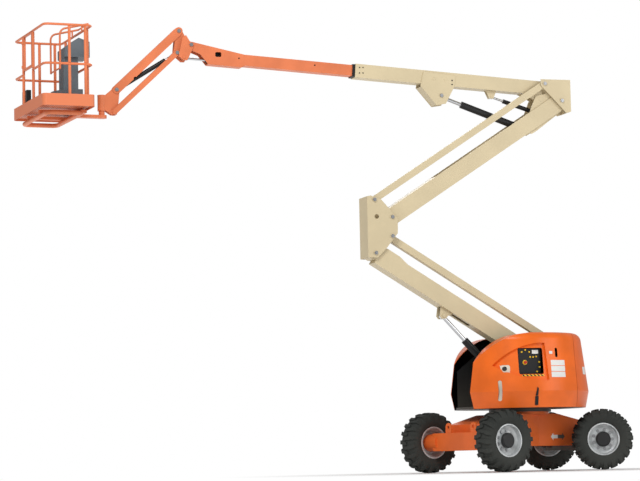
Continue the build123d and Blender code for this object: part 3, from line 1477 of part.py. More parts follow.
# Cylinders: name, base pin, rod pin, barrel and rod radius, barrel length, half width of eye, rod inside
CYLINDERS = (
    ("tower", TOWER_BASE, TOWER_PIN, 52.0, 28.0, 1010.0, CYL_LUG_IN - 5, 500.0),
    ("lift", LIFT_BASE, LIFT_PIN, 48.0, 26.0, 1030.0, 44.0, 560.0),
    ("master", MASTER_BASE, MASTER_PIN, 30.0, 16.0, 480.0, 20.0, 240.0),
    ("jib", J5, J2, 30.0, 18.0, 800.0, 19.0, 564.0),
)
for name, base, pin, r, rod_r, length, half, inside in CYLINDERS:
    t = math.radians(angle_of(base, pin))
    d3 = (math.cos(t), 0.0, math.sin(t))
    at = (SWING_X + base[0], SWING_Y, base[1])
    axis = Plane(origin=at, x_dir=(0, 1, 0), z_dir=d3)
    pin_r = {"master": LEVEL_PIN_R, "jib": JIB_PIN_R}.get(name, PIN_R)
    eye_r = pin_r + 16
    bore = RUN + pin_r
    with BuildPart() as barrel:
        with BuildSketch(axis.offset(eye_r + 12)):
            Circle(r)
        extrude(amount=length - eye_r - 12)
        with BuildSketch(side):
            with Locations(base):
                Circle(eye_r)
            with BuildLine():
                Polyline(*band(base, along(base, pin, eye_r + 16), eye_r * 0.7), close=True)
            make_face()
        extrude(amount=half, both=True)
        with BuildSketch(side):
            with Locations(base):
                Circle(bore)
        extrude(amount=half + 1, both=True, mode=Mode.SUBTRACT)
        with BuildSketch(axis.offset(eye_r + 60)):
            Circle(rod_r + RUN)
        extrude(amount=length, mode=Mode.SUBTRACT)
    barrel.part.label = name + "_barrel"
    export_step(barrel.part, "parts/" + name + "_barrel.step")
    full = dist(base, pin)
    with BuildPart() as rod:
        with BuildSketch(axis.offset(length - inside)):
            Circle(rod_r)
        extrude(amount=full - eye_r * 0.6 - length + inside)
        with BuildSketch(side):
            with Locations(pin):
                Circle(eye_r)
        extrude(amount=half, both=True)
    rod.part.label = name + "_rod"
    export_step(rod.part, "parts/" + name + "_rod.step")

# Level cylinder in the nose: barrel fixed in the fly boom, rod to the nose bracket
SLAVE_ROD_R = 16.0
FORK_IN = 24.0
FORK_OUT = 31.0
FORK_LEN = 60.0
SLAVE_END = (J4[0] + 800, J4[1] - 46)
t = math.radians(angle_of(J4, SLAVE_END))
axis = Plane(origin=(SWING_X + J4[0], SWING_Y, J4[1]), x_dir=(0, 1, 0), z_dir=(math.cos(t), 0, math.sin(t)))
with BuildPart() as slave_barrel:
    with BuildSketch(axis.offset(312)):
        Circle(32)
        Circle(SLAVE_ROD_R + RUN, mode=Mode.SUBTRACT)
    extrude(amount=508)
    with BuildSketch(side.offset(-FLY_W / 2 + FLY_WALL + 0.3)):
        with Locations(along(J4, SLAVE_END, 520)):
            Circle(26)
        with Locations(along(J4, SLAVE_END, 520)):
            Circle(19, mode=Mode.SUBTRACT)
    extrude(amount=FLY_W - 2 * FLY_WALL - 0.6)
    with BuildSketch(axis.offset(260)):
        Circle(SLAVE_ROD_R + RUN)
    extrude(amount=540, mode=Mode.SUBTRACT)
slave_barrel.part.label = "slave_barrel"
export_step(slave_barrel.part, "parts/slave_barrel.step")
with BuildPart() as slave_rod:
    with BuildSketch(axis.offset(FORK_LEN)):
        Circle(SLAVE_ROD_R)
    extrude(amount=480 - FORK_LEN)
    with BuildSketch(axis.offset(FORK_LEN)):
        Rectangle(2 * FORK_OUT, 44)
    extrude(amount=12)
    for y0, t in both(FORK_IN, FORK_OUT):
        with BuildSketch(side.offset(y0)):
            with BuildLine():
                Polyline(*band(J4, along(J4, SLAVE_END, FORK_LEN + 6), 22), close=True)
            make_face()
            with Locations(J4):
                Circle(28)
        extrude(amount=t)
slave_rod.part.label = "slave_rod"
export_step(slave_rod.part, "parts/slave_rod.step")
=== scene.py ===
# %% [markdown]
# # A boom lift in its finish
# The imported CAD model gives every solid, its place and the body it moves with. This script paints
# those solids, adds the small repeated things that CAD leaves out, and sets a plain studio around them.
# The photograph is taken from floor level, so the camera stands low and looks up along the boom.

import json
import math

import bmesh
import bpy
from mathutils import Matrix, Vector


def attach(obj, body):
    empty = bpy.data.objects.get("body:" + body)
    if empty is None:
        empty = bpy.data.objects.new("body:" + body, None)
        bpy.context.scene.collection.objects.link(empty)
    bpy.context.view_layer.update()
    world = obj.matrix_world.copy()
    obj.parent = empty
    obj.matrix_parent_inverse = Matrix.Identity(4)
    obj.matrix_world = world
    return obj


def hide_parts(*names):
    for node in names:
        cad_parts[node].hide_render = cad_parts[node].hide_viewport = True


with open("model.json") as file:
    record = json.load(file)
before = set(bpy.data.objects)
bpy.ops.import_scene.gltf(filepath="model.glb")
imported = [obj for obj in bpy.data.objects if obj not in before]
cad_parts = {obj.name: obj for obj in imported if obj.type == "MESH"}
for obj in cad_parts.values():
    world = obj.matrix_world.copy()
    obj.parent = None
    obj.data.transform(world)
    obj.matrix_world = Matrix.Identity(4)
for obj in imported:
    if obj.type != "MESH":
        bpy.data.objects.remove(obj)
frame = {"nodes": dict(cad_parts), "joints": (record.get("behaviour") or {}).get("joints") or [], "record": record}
nodes = frame["nodes"]
slots = {s["node"]: s["material_slot"] for s in frame["record"]["subparts"]}
placed = {j["name"]: j["pos_m"] for j in frame["joints"] if "pos_m" in j}
spins = {j["child"]: j for j in frame["joints"] if j["name"].endswith("_spin")}
SWING = Vector(placed["swing"])
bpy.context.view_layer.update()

# %% [markdown]
# ## Shader maths
# A socket is wrapped in a small class, so that a material reads like a formula. Every operator adds
# one maths node.


# %% One class for shader formulas
class Sock:
    """An output socket with operators that build maths nodes."""

    def __init__(self, tree, out):
        self.tree = tree
        self.out = out

    def _math(self, op, *args):
        n = self.tree.nodes.new("ShaderNodeMath")
        n.operation = op
        for i, a in enumerate(args):
            put(self.tree, n.inputs[i], a)
        return Sock(self.tree, n.outputs[0])

    def __add__(self, other):
        return self._math("ADD", self, other)

    __radd__ = __add__

    def __mul__(self, other):
        return self._math("MULTIPLY", self, other)

    __rmul__ = __mul__

    def __sub__(self, other):
        return self._math("SUBTRACT", self, other)

    def __rsub__(self, other):
        return self._math("SUBTRACT", other, self)

    def __pow__(self, other):
        return self._math("POWER", self, other)

    def __abs__(self):
        return self._math("ABSOLUTE", self)

    def sine(self):
        return self._math("SINE", self)

    def fraction(self):
        return self._math("FRACT", self)

    def larger(self, other):
        return self._math("MAXIMUM", self, other)

    def clamp(self):
        n = self._math("ADD", self, 0.0)
        n.out.node.use_clamp = True
        return n

    def step(self, low, high):
        """0 below low and 1 above high, smooth between."""
        n = self.tree.nodes.new("ShaderNodeMapRange")
        n.interpolation_type = "SMOOTHSTEP"
        put(self.tree, n.inputs["Value"], self)
        n.inputs["From Min"].default_value = low
        n.inputs["From Max"].default_value = high
        return Sock(self.tree, n.outputs["Result"])


print("shader class ready")

# %% [markdown]
# `make` adds any other node by its type name, with its inputs given by name and _ for a space. Vector
# maths, the split of a vector and the mix of two colours come up often, so each has a function.


# %% Functions that add nodes
def put(tree, socket, value):
    """Link a socket or set a plain value."""
    if isinstance(value, Sock):
        tree.links.new(value.out, socket)
    else:
        socket.default_value = value


def make(tree, kind, out=0, **inputs):
    n = tree.nodes.new(kind)
    for k, v in inputs.items():
        put(tree, n.inputs[k.replace("_", " ")], v)
    return Sock(tree, n.outputs[out])


def vector_math(tree, op, *args, out=0):
    n = tree.nodes.new("ShaderNodeVectorMath")
    n.operation = op
    for i, a in enumerate(args):
        put(tree, n.inputs[i], a)
    return Sock(tree, n.outputs[out])


def split(tree, vector):
    """The X, Y and Z of a vector."""
    n = tree.nodes.new("ShaderNodeSeparateXYZ")
    put(tree, n.inputs[0], vector)
    return tuple(Sock(tree, n.outputs[k]) for k in "XYZ")


def mix(tree, fac, a, b):
    n = tree.nodes.new("ShaderNodeMix")
    n.data_type = "RGBA"
    put(tree, n.inputs["Factor"], fac)
    put(tree, n.inputs["A"], a)
    put(tree, n.inputs["B"], b)
    return Sock(tree, n.outputs["Result"])


def rgb(r, g, b):
    """sRGB values from 0 to 255 as a linear colour."""
    lin = [(c / 255 / 12.92) if c <= 10 else ((c / 255 + 0.055) / 1.055) ** 2.4 for c in (r, g, b)]
    return (*lin, 1.0)


print("shader functions ready")

# %% [markdown]
# ## Materials
# Each paint is one base colour with a little cloudiness, a dusty lower part and fine unevenness in its
# gloss. Object coordinates are metres here, because every piece sits at the origin of the frame.

# %% Kinds of material
DUST = (0.42, 0.36, 0.28, 1)
TYRE_DUST = (0.06, 0.062, 0.056, 1)
DUST_LOW, DUST_HIGH = 0.15, 1.5  # all of the dust below the first height, none above the second
SATIN = 0.45


def material(name):
    m = bpy.data.materials.new(name)
    m.use_nodes = True
    tree = m.node_tree
    bsdf = tree.nodes["Principled BSDF"]
    where = make(tree, "ShaderNodeTexCoord", "Object")
    return m, tree, bsdf, where


def coated(name, colour, rough=0.4, metal=0.0, dust=0.25, dust_colour=DUST, cloud=0.06):
    """Paint or plastic with clouds in its colour and dust near the ground."""
    m, tree, bsdf, where = material(name)
    big = make(tree, "ShaderNodeTexNoise", 0, Vector=where, Scale=2.3, Detail=4.0)
    fine = make(tree, "ShaderNodeTexNoise", 0, Vector=where, Scale=38.0, Detail=3.0)
    z = split(tree, where)[2]
    low = 1.0 - z.step(DUST_LOW, DUST_HIGH)
    dirt = (low * dust * (0.35 + big)).clamp()
    dark = tuple(c * (1 - 2.2 * cloud) for c in colour[:3]) + (1.0,)
    light = tuple(min(1.0, c * (1 + cloud)) for c in colour[:3]) + (1.0,)
    base = mix(tree, big.step(0.3, 0.7), dark, light)
    put(tree, bsdf.inputs["Base Color"], mix(tree, dirt, base, dust_colour))
    put(tree, bsdf.inputs["Roughness"], (rough + 0.18 * (fine - 0.5) + 0.25 * dirt).clamp())
    bsdf.inputs["Metallic"].default_value = metal
    bsdf.inputs["Specular IOR Level"].default_value = 0.32
    return m


def striped(name, one, two, pitch=0.05, edge=0.08):
    """Slanted stripes in two colours across the side view."""
    m, tree, bsdf, where = material(name)
    x, _, z = split(tree, where)
    wave = ((x + z) * (2 * math.pi / pitch)).sine()
    put(tree, bsdf.inputs["Base Color"], mix(tree, wave.step(-edge, edge), one, two))
    bsdf.inputs["Roughness"].default_value = SATIN
    return m


print("material functions ready")

# %% [markdown]
# The record names a slot for every node. The finishes after `black_plastic` belong to this script's own
# pieces, apart from the paler orange of the upper part, which is painted sunlight on the orange paint.

# %% Paint, rubber, metal and plastic
MATERIALS = {
    "orange": coated("orange paint", rgb(236, 106, 34), 0.38, dust=0.06),
    "hood": coated("orange hood", rgb(240, 108, 26), 0.34, dust=0.05),
    "cream": coated("cream paint", rgb(207, 191, 156), 0.42, dust=0.0, cloud=0.025),
    "dark": coated("black paint", rgb(30, 30, 30), 0.42, dust=0.3),
    "rubber": coated("tyre rubber", rgb(34, 38, 36), 0.85, dust=0.8, dust_colour=TYRE_DUST),
    "rim": coated("rim paint", rgb(222, 222, 220), 0.36, dust=0.12),
    "chrome": coated("chrome", rgb(205, 206, 208), 0.12, metal=1.0, dust=0.0, cloud=0.02),
    "steel": coated("bare steel", rgb(165, 166, 168), 0.35, metal=1.0, dust=0.0),
    "grey": coated("grey plastic", rgb(98, 107, 113), 0.5, dust=0.0),
    "iron": coated("cast iron", rgb(40, 40, 42), 0.7, dust=0.1),
    "black_plastic": coated("black plastic", rgb(26, 26, 27), 0.5, dust=0.0),
    # the same orange paint with painted sunlight, for the upper parts
    "sunlit_orange_painted": coated("sunlit orange paint", rgb(221, 123, 80), 0.4, dust=0.0),
    "plate": coated("blank plate", rgb(226, 226, 222), 0.45, dust=0.0, cloud=0.03),
    "glass": coated("milky plastic", rgb(214, 206, 190), 0.3, dust=0.0),
    "yellow": coated("yellow plastic", rgb(236, 190, 40), 0.4, dust=0.0),
    "red": coated("red plastic", rgb(190, 30, 26), 0.35, dust=0.0),
    "stripe": striped("warning stripe", rgb(236, 190, 40), rgb(28, 28, 28)),
}
for name, obj in nodes.items():
    obj.data.materials.clear()
    obj.data.materials.append(MATERIALS.get(slots[name], MATERIALS["orange"]))
print(len(MATERIALS), "materials on", len(nodes), "nodes")

# %% [markdown]
# The inside of the hoods is painted near black as shade. A surface is an inner one where it faces the swing axis.

# %% Painted shade inside the hoods
tree = MATERIALS["hood"].node_tree
base = tree.nodes["Principled BSDF"].inputs["Base Color"]
paint = Sock(tree, base.links[0].from_socket)
spot = vector_math(tree, "SUBTRACT", make(tree, "ShaderNodeTexCoord", "Object"), SWING)
flat = vector_math(tree, "MULTIPLY", spot, (1.0, 1.0, 0.0))
unit = vector_math(tree, "NORMALIZE", flat)
normal = make(tree, "ShaderNodeTexCoord", "Normal")
facing = vector_math(tree, "DOT_PRODUCT", unit, normal, out="Value")
# faces turned inwards take near-black painted shade
put(tree, base, mix(tree, 1.0 - facing.step(-0.7, -0.5), paint, rgb(24, 24, 25)))
print("hoods dark inside")

# %% [markdown]
# The jib and the basket are a paler orange than the chassis, which the photograph shows: this is painted sunlight
# on the same orange paint. The floor of the basket is perforated plate: round holes in rows, painted as dark spots
# of shade, on the faces that look up or down.

# %% Paint of the basket, the jib and the floor
# Orange nodes up high take the orange with painted sunlight
HIGH = 4.0  # nodes that lie wholly above this height are paler
for name, obj in nodes.items():
    if slots[name] == "orange" and min(corner[2] for corner in obj.bound_box) > HIGH:
        obj.data.materials[0] = MATERIALS["sunlit_orange_painted"]


def perforated(name, colour, pitch=0.03, hole=0.3, edge=0.04):
    """Paint with rows of holes, painted as dark spots of shade, on level faces. The hole is a share of the pitch.
    """
    m, tree, bsdf, where = material(name)
    x, y, _ = split(tree, where)
    across = (x * (1 / pitch)).fraction() - 0.5
    along = (y * (1 / pitch)).fraction() - 0.5
    reach = (across**2.0 + along**2.0) ** 0.5
    up = split(tree, make(tree, "ShaderNodeTexCoord", "Normal"))[2]
    holes = (1.0 - reach.step(hole - edge, hole + edge)) * abs(up).step(0.8, 0.95)
    # the holes get a dark shaded orange: painted shade where the plate is open
    put(tree, bsdf.inputs["Base Color"], mix(tree, holes, colour, rgb(70, 34, 18)))
    bsdf.inputs["Roughness"].default_value = SATIN
    return m


# the basket floor takes the same orange with painted sunlight
nodes["platform_floor"].data.materials[0] = perforated("perforated floor", rgb(221, 123, 80))
print("upper paint done")

# %% [markdown]
# ## Wheels
# The rims are silver with a dark drive hub. The hub is found by its distance from the wheel's axle, which
# each wheel joint gives as a point and a direction, so every rim has a material of its own.


# %% Rims with dark hubs
def rim_material(name, centre, axle, hub=0.106, edge=0.002):
    m, tree, bsdf, where = material(name)
    side = vector_math(tree, "CROSS_PRODUCT", vector_math(tree, "SUBTRACT", where, centre), axle)
    outside = vector_math(tree, "LENGTH", side, out="Value").step(hub - edge, hub + edge)
    grime = make(tree, "ShaderNodeTexNoise", 0, Vector=where, Scale=9.0, Detail=4.0)
    silver = mix(tree, grime.step(0.35, 0.75), rgb(214, 217, 218), rgb(170, 173, 173))
    put(tree, bsdf.inputs["Base Color"], mix(tree, outside, rgb(26, 26, 27), silver))
    put(tree, bsdf.inputs["Metallic"], outside * 0.35)
    bsdf.inputs["Roughness"].default_value = 0.42
    return m


for body, joint in spins.items():
    name = body.replace("wheel_", "rim_")
    nodes[name].data.materials[0] = rim_material(name, joint["pos_m"], joint["axis"])
print(len(spins), "rims painted")

# %% [markdown]
# ## Added pieces
# Every added piece is a plain mesh that rides a body of the model. What repeats is grown by a node group,
# turned into a plain mesh, and its modifier is taken off again.


# %% Functions that add pieces
def link_object(name, mesh):
    obj = bpy.data.objects.new(name, mesh)
    bpy.context.scene.collection.objects.link(obj)
    return obj


def carry(obj, body):
    """Let a piece ride a body."""
    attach(obj, body)
    return obj


def finish_piece(obj, body, finish):
    """Paint a piece and let it ride a body."""
    obj.data.materials.append(MATERIALS[finish])
    return carry(obj, body)


def grown(obj, group, values):
    """The plain mesh that a node group makes of an object."""
    mod = obj.modifiers.new(group.name, "NODES")
    mod.node_group = group
    for item in group.interface.items_tree:
        if item.in_out == "INPUT" and item.name in values:
            mod[item.identifier] = values[item.name]
    bpy.context.view_layer.update()
    plain = bpy.data.meshes.new_from_object(obj.evaluated_get(bpy.context.evaluated_depsgraph_get()))
    obj.modifiers.remove(mod)
    return plain


print("piece functions ready")

# %% [markdown]
# Both node groups end alike: a shape is set on points, made real and painted.


# %% The common end of the node groups
def new_group(title, inputs, output, kinds):
    """A node group with named inputs, its own nodes by name and the common end."""
    group = bpy.data.node_groups.new(title, "GeometryNodeTree")
    for name, kind in inputs.items():
        group.interface.new_socket(name, in_out="INPUT", socket_type="NodeSocket" + kind)
    group.interface.new_socket(output, in_out="OUTPUT", socket_type="NodeSocketGeometry")
    common = {
        "in": "NodeGroupInput",
        "out": "NodeGroupOutput",
        "place": "GeometryNodeInstanceOnPoints",
        "real": "GeometryNodeRealizeInstances",
        "paint": "GeometryNodeSetMaterial",
    }
    n = {key: group.nodes.new(kind) for key, kind in (common | kinds).items()}
    group.links.new(n["place"].outputs[0], n["real"].inputs[0])
    group.links.new(n["real"].outputs[0], n["paint"].inputs["Geometry"])
    group.links.new(n["in"].outputs["Finish"], n["paint"].inputs["Material"])
    group.links.new(n["paint"].outputs[0], n["out"].inputs[0])
    return group, n


print("group function ready")

# %% [markdown]
# ## Repeated fasteners
# One node group puts a hexagon head on every point of a mesh. It serves the lug nuts of the wheels and the
# heads of the boom pins: the points and the turn differ, the group is the same.

# %% Geometry node group for hexagon heads
HEX_CORNER = 0.577  # corner radius of a hexagon, as a share of its width across flats
WASHER_R, WASHER_H = 0.86, 0.3  # shares of the width across flats and of the height


def heads_group():
    inputs = {"Points": "Geometry", "Across": "Float", "Height": "Float"}
    inputs |= {"Turn": "Rotation", "Finish": "Material"}
    kinds = {"hex": "GeometryNodeMeshCylinder", "washer": "GeometryNodeMeshCylinder"}
    kinds |= {"join": "GeometryNodeJoinGeometry"}
    kinds |= {key: "ShaderNodeMath" for key in ("hex_r", "washer_r", "washer_h")}
    group, n = new_group("hexagon heads", inputs, "Heads", kinds)
    n["hex"].inputs["Vertices"].default_value = 6
    n["washer"].inputs["Vertices"].default_value = 20
    for key, factor in (("hex_r", HEX_CORNER), ("washer_r", WASHER_R), ("washer_h", WASHER_H)):
        n[key].operation = "MULTIPLY"
        n[key].inputs[1].default_value = factor
    link = group.links.new
    given = n["in"].outputs
    link(given["Across"], n["hex_r"].inputs[0])
    link(given["Across"], n["washer_r"].inputs[0])
    link(given["Height"], n["washer_h"].inputs[0])
    link(n["hex_r"].outputs[0], n["hex"].inputs["Radius"])
    link(given["Height"], n["hex"].inputs["Depth"])
    link(n["washer_r"].outputs[0], n["washer"].inputs["Radius"])
    link(n["washer_h"].outputs[0], n["washer"].inputs["Depth"])
    link(n["hex"].outputs["Mesh"], n["join"].inputs[0])
    link(n["washer"].outputs["Mesh"], n["join"].inputs[0])
    link(given["Points"], n["place"].inputs["Points"])
    link(n["join"].outputs[0], n["place"].inputs["Instance"])
    link(given["Turn"], n["place"].inputs["Rotation"])
    return group


HEADS = heads_group()


def heads(name, points, across, height, turn, body, finish):
    """Hexagon heads on the points, as one plain mesh that rides a body."""
    mesh = bpy.data.meshes.new(name)
    mesh.from_pydata(points, [], [])
    obj = link_object(name, mesh)
    values = {"Across": across, "Height": height, "Turn": turn, "Finish": MATERIALS[finish]}
    obj.data = grown(obj, HEADS, values)
    return carry(obj, body)


print("head group ready")

# %% [markdown]
# Each wheel has a ring of lug nuts on the face of its rim.

# %% Lug nuts
NUTS, NUT_CIRCLE, NUT_FACE = 9, 0.131, 0.034
NUT_ACROSS, NUT_HEIGHT = 0.026, 0.02
UP = Vector((0, 0, 1))
for body, joint in spins.items():
    axle = Vector(joint["axis"])
    across = UP.cross(axle)
    centre = Vector(joint["pos_m"]) + NUT_FACE * axle
    ring = []
    for i in range(NUTS):
        a = 2 * math.pi * i / NUTS
        ring.append(centre + NUT_CIRCLE * (math.cos(a) * across + math.sin(a) * UP))
    turn = axle.to_track_quat("Z", "Y").to_euler()
    heads(body + "_nuts", ring, NUT_ACROSS, NUT_HEIGHT, turn, body, "steel")
print(NUTS * len(spins), "lug nuts")

# %% [markdown]
# ## Tyres
# The CAD tyre has the true outline with small shoulder notches. The one that shows has the same outline as a
# smooth carcass under deep bars, which reach the CAD radius. One node group turns a bar around the axle.

# %% Tread group
TYRE_R, TYRE_W, BEAD_R, BAR_H, BARS = 0.419, 0.300, 0.2225, 0.03, 20


def tread_group():
    inputs = {"Bar": "Geometry", "Count": "Int", "Finish": "Material"}
    kinds = {"points": "GeometryNodePoints", "index": "GeometryNodeInputIndex"}
    kinds |= {"step": "ShaderNodeMath", "angle": "ShaderNodeMath", "turn": "ShaderNodeCombineXYZ"}
    group, n = new_group("tread bars", inputs, "Tread", kinds)
    n["step"].operation = "DIVIDE"
    n["step"].inputs[0].default_value = 2 * math.pi
    n["angle"].operation = "MULTIPLY"
    link = group.links.new
    given = n["in"].outputs
    link(given["Count"], n["points"].inputs["Count"])
    link(given["Count"], n["step"].inputs[1])
    link(n["index"].outputs[0], n["angle"].inputs[0])
    link(n["step"].outputs[0], n["angle"].inputs[1])
    link(n["angle"].outputs[0], n["turn"].inputs["Z"])
    link(n["points"].outputs[0], n["place"].inputs["Points"])
    link(given["Bar"], n["place"].inputs["Instance"])
    link(n["turn"].outputs[0], n["place"].inputs["Rotation"])
    return group


TREAD = tread_group()
print("tread group ready")

# %% [markdown]
# A bar runs from the shoulder past the middle and leans back along the tread. The carcass is one profile
# turned around the axle.


# %% Bar and carcass
def bar_mesh():
    """Two bars, one from each shoulder past the middle, half a pitch apart."""
    half = TYRE_W / 2
    stations = (  # across the tyre, outer radius, half width, lead along the tread
        (half - 0.001, TYRE_R - 0.082, 0.034, 0.022),
        (half - 0.008, TYRE_R - 0.044, 0.034, 0.020),
        (half - 0.034, TYRE_R - 0.007, 0.033, 0.014),
        (half * 0.45, TYRE_R - 0.001, 0.028, 0.004),
        (-0.022, TYRE_R, 0.020, -0.006),
    )
    verts, faces = [], []
    for end, shift in ((1, 0.0), (-1, math.pi / BARS)):
        first = len(verts)
        last = first + 4 * (len(stations) - 1)
        for w, radius, wide, lead in stations:
            for side, depth in ((-1, BAR_H), (-0.82, 0.0), (0.82, 0.0), (1, BAR_H)):
                a = shift + (lead + side * wide) / TYRE_R
                verts.append(((radius - depth) * math.cos(a), (radius - depth) * math.sin(a), end * w))
        for row in range(first, last, 4):
            for k in range(4):
                p, q = row + k, row + (k + 1) % 4
                face = (p, q, q + 4, p + 4)
                faces.append(face if end > 0 else face[::-1])
        ends = (tuple(first + k for k in (3, 2, 1, 0)), tuple(last + k for k in range(4)))
        faces += ends if end > 0 else tuple(f[::-1] for f in ends)
    mesh = bpy.data.meshes.new("bar")
    mesh.from_pydata(verts, [], faces)
    return mesh


def carcass_mesh(steps=72):
    """Round body of the tyre under the bars, closed from bead to bead."""
    half = TYRE_W / 2
    side = [(half - 0.034, BEAD_R), (half - 0.022, BEAD_R + 0.024), (half - 0.008, BEAD_R + 0.055)]
    side += [(half - 0.001, BEAD_R + 0.092), (half - 0.014, TYRE_R - 0.07), (half - 0.045, TYRE_R - 0.03)]
    crown = [(0.05, TYRE_R - 0.022), (-0.05, TYRE_R - 0.022)]
    profile = side + crown + [(-w, r) for w, r in reversed(side)]
    verts, faces, n = [], [], len(profile)
    for i in range(steps):
        a = 2 * math.pi * i / steps
        verts += [(r * math.cos(a), r * math.sin(a), w) for w, r in profile]
    for i in range(steps):
        j = (i + 1) % steps
        for k in range(n):
            m = (k + 1) % n
            faces.append((i * n + k, i * n + m, j * n + m, j * n + k))
    mesh = bpy.data.meshes.new("carcass")
    mesh.from_pydata(verts, [], faces)
    mesh.shade_smooth()
    return mesh


print("tyre shapes ready")

# %% [markdown]
# Bars and carcass become one mesh on the wheel's axle, which stands in for the CAD tyre.

# %% Four tyres
for body, joint in spins.items():
    tyre = body.replace("wheel_", "tyre_")
    obj = link_object(tyre + "_tread", bar_mesh())
    bars = grown(obj, TREAD, {"Count": BARS, "Finish": MATERIALS["rubber"]})
    bm = bmesh.new()
    bm.from_mesh(bars)
    bm.from_mesh(carcass_mesh())
    bmesh.ops.recalc_face_normals(bm, faces=bm.faces)
    turn = Vector(joint["axis"]).to_track_quat("Z", "Y").to_matrix().to_4x4()
    bm.transform(Matrix.Translation(joint["pos_m"]) @ turn)
    for face in bm.faces:
        face.material_index = 0
    bm.to_mesh(bars)
    bm.free()
    bars.materials.clear()
    bars.materials.append(MATERIALS["rubber"])
    obj.data = bars
    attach(obj, body)
    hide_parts(tyre)
print(2 * BARS * len(spins), "tread bars")

# %% [markdown]
# ## Places on the CAD surface
# A ray cast towards the machine finds how far out the metal reaches, so that an added piece always rests
# on a face. Places in the side view are given in millimetres from the swing axis and the floor.


# %% Rays that find a face
def face_at(names, x, z, y=-3.0, aim=(0.0, 1.0, 0.0)):
    """Nearest point of these nodes on a ray, and the normal there."""
    best = None
    for name in names:
        hit, at, normal, _ = bpy.data.objects[name].ray_cast(Vector((x, y, z)), Vector(aim))
        if hit and (best is None or abs(at.y - y) < abs(best[0].y - y)):
            best = (at, normal)
    return best


def mm(x, z):
    """A place in the side view as metres of the frame."""
    return SWING.x + x / 1000, z / 1000


print("rays ready")

# %% [markdown]
# Pin heads sit on the ends of the boom pins. A pin's place is the place of its joint. A head is left out
# where the face lies too far in, or isn't a side face.

# %% Pin heads
PINS = {  # body: least distance of the face from the middle, joints
    "mid_knuckle": (0.15, ("mid_knuckle_pivot", "mid_boom_pivot", "upper_link_pivot")),
    "top_knuckle": (0.15, ("top_knuckle_pivot", "boom_lift")),
    "nose_bracket": (0.05, ("nose_bracket_pivot", "jib_lift", "jib_link_pivot")),
    "jib_end": (0.05, ("jib_end_pivot",)),
    "base_boom": (0.05, ()),
}
# Pins that close a loop have no joint, so their places are given in the side view
LOOP_PINS = {"mid_knuckle": [(-1863, 3243)], "top_knuckle": [(442, 5408)], "base_boom": [(-1076, 5213)]}
PIN_ACROSS, PIN_HEIGHT, PIN_LIFT, SIDEWAYS = 0.03, 0.014, 0.006, 0.9
made = 0
for body, (reach, joints) in PINS.items():
    places = [(placed[joint][0], placed[joint][2]) for joint in joints]
    places += [mm(*p) for p in LOOP_PINS.get(body, [])]
    for side_name, end, turn in (("near", -1, 90.0), ("far", 1, -90.0)):
        spots = []
        for x, z in places:
            found = face_at([body], x, z, 3.0 * end, (0.0, -end, 0.0))
            if found and abs(found[1].y) > SIDEWAYS and abs(found[0].y - SWING.y) > reach:
                spots.append(found[0] + Vector((0.0, end * PIN_LIFT, 0.0)))
        if spots:
            title = f"{body}_pin_heads_{side_name}"
            heads(title, spots, PIN_ACROSS, PIN_HEIGHT, (math.radians(turn), 0, 0), body, "steel")
            made += len(spots)
print(made, "pin heads")

# %% [markdown]
# ## Plates and marks
# Plates are thin sheets laid on the CAD surface by rays, so they follow the curve of the hood. They are
# blank: the lettering of the real machine is left off. Round marks are short discs.

# %% Sheets and discs laid on a surface
SKIN = 0.0005  # a plate stands off its surface by this, and a disc is sunk by it
PLATE = 0.002  # thickness of a plate


def sheet(name, names, corners, lift, thick, body, finish, steps=8):
    """A closed thin sheet over four corners of the side view, lifted off the surface."""
    a, b, c, d = (Vector((*mm(*p), 0.0)) for p in corners)
    front, back = [], []
    for i in range(steps + 1):
        for k in range(steps + 1):
            s, t = i / steps, k / steps
            at = (a * (1 - s) + b * s) * (1 - t) + (d * (1 - s) + c * s) * t
            y = face_at(names, at.x, at.y)[0].y
            front.append((at.x, y - lift - thick, at.y))
            back.append((at.x, y - lift, at.y))
    row, count = steps + 1, (steps + 1) ** 2
    faces = []
    for i in range(steps):
        for k in range(steps):
            q = [i * row + k, i * row + k + 1, (i + 1) * row + k + 1, (i + 1) * row + k]
            faces.append(q)
            faces.append([count + v for v in reversed(q)])
    rim = list(range(row)) + [i * row + steps for i in range(1, row)]
    rim += [steps * row + k for k in range(steps - 1, -1, -1)] + [i * row for i in range(steps - 1, 0, -1)]
    for v, w in zip(rim, rim[1:] + rim[:1]):
        faces.append([w, v, count + v, count + w])
    mesh = bpy.data.meshes.new(name)
    mesh.from_pydata(front + back, [], faces)
    return finish_piece(link_object(name, mesh), body, finish)


def discs(name, names, spots, radius, height, body, finish):
    """Short round heads that stand on a surface of the side view."""
    bm = bmesh.new()
    cone = {"cap_ends": True, "segments": 24, "radius1": radius, "radius2": radius * 0.86}
    for x, z in spots:
        at, normal = face_at(names, *mm(x, z))
        turn = normal.to_track_quat("Z", "Y").to_matrix().to_4x4()
        place = Matrix.Translation(at + normal * (height / 2 - SKIN)) @ turn
        bmesh.ops.create_cone(bm, depth=height, matrix=place, **cone)
    mesh = bpy.data.meshes.new(name)
    bm.to_mesh(mesh)
    bm.free()
    return finish_piece(link_object(name, mesh), body, finish)


def box_corners(x0, x1, z0, z1):
    return (x0, z1), (x1, z1), (x1, z0), (x0, z0)


print("sheets and discs ready")

# %% [markdown]
# The hood carries three blank plates, a key plate, a strap, a warning stripe and the sight glass with its
# filler. The last two are let into the hood a little.

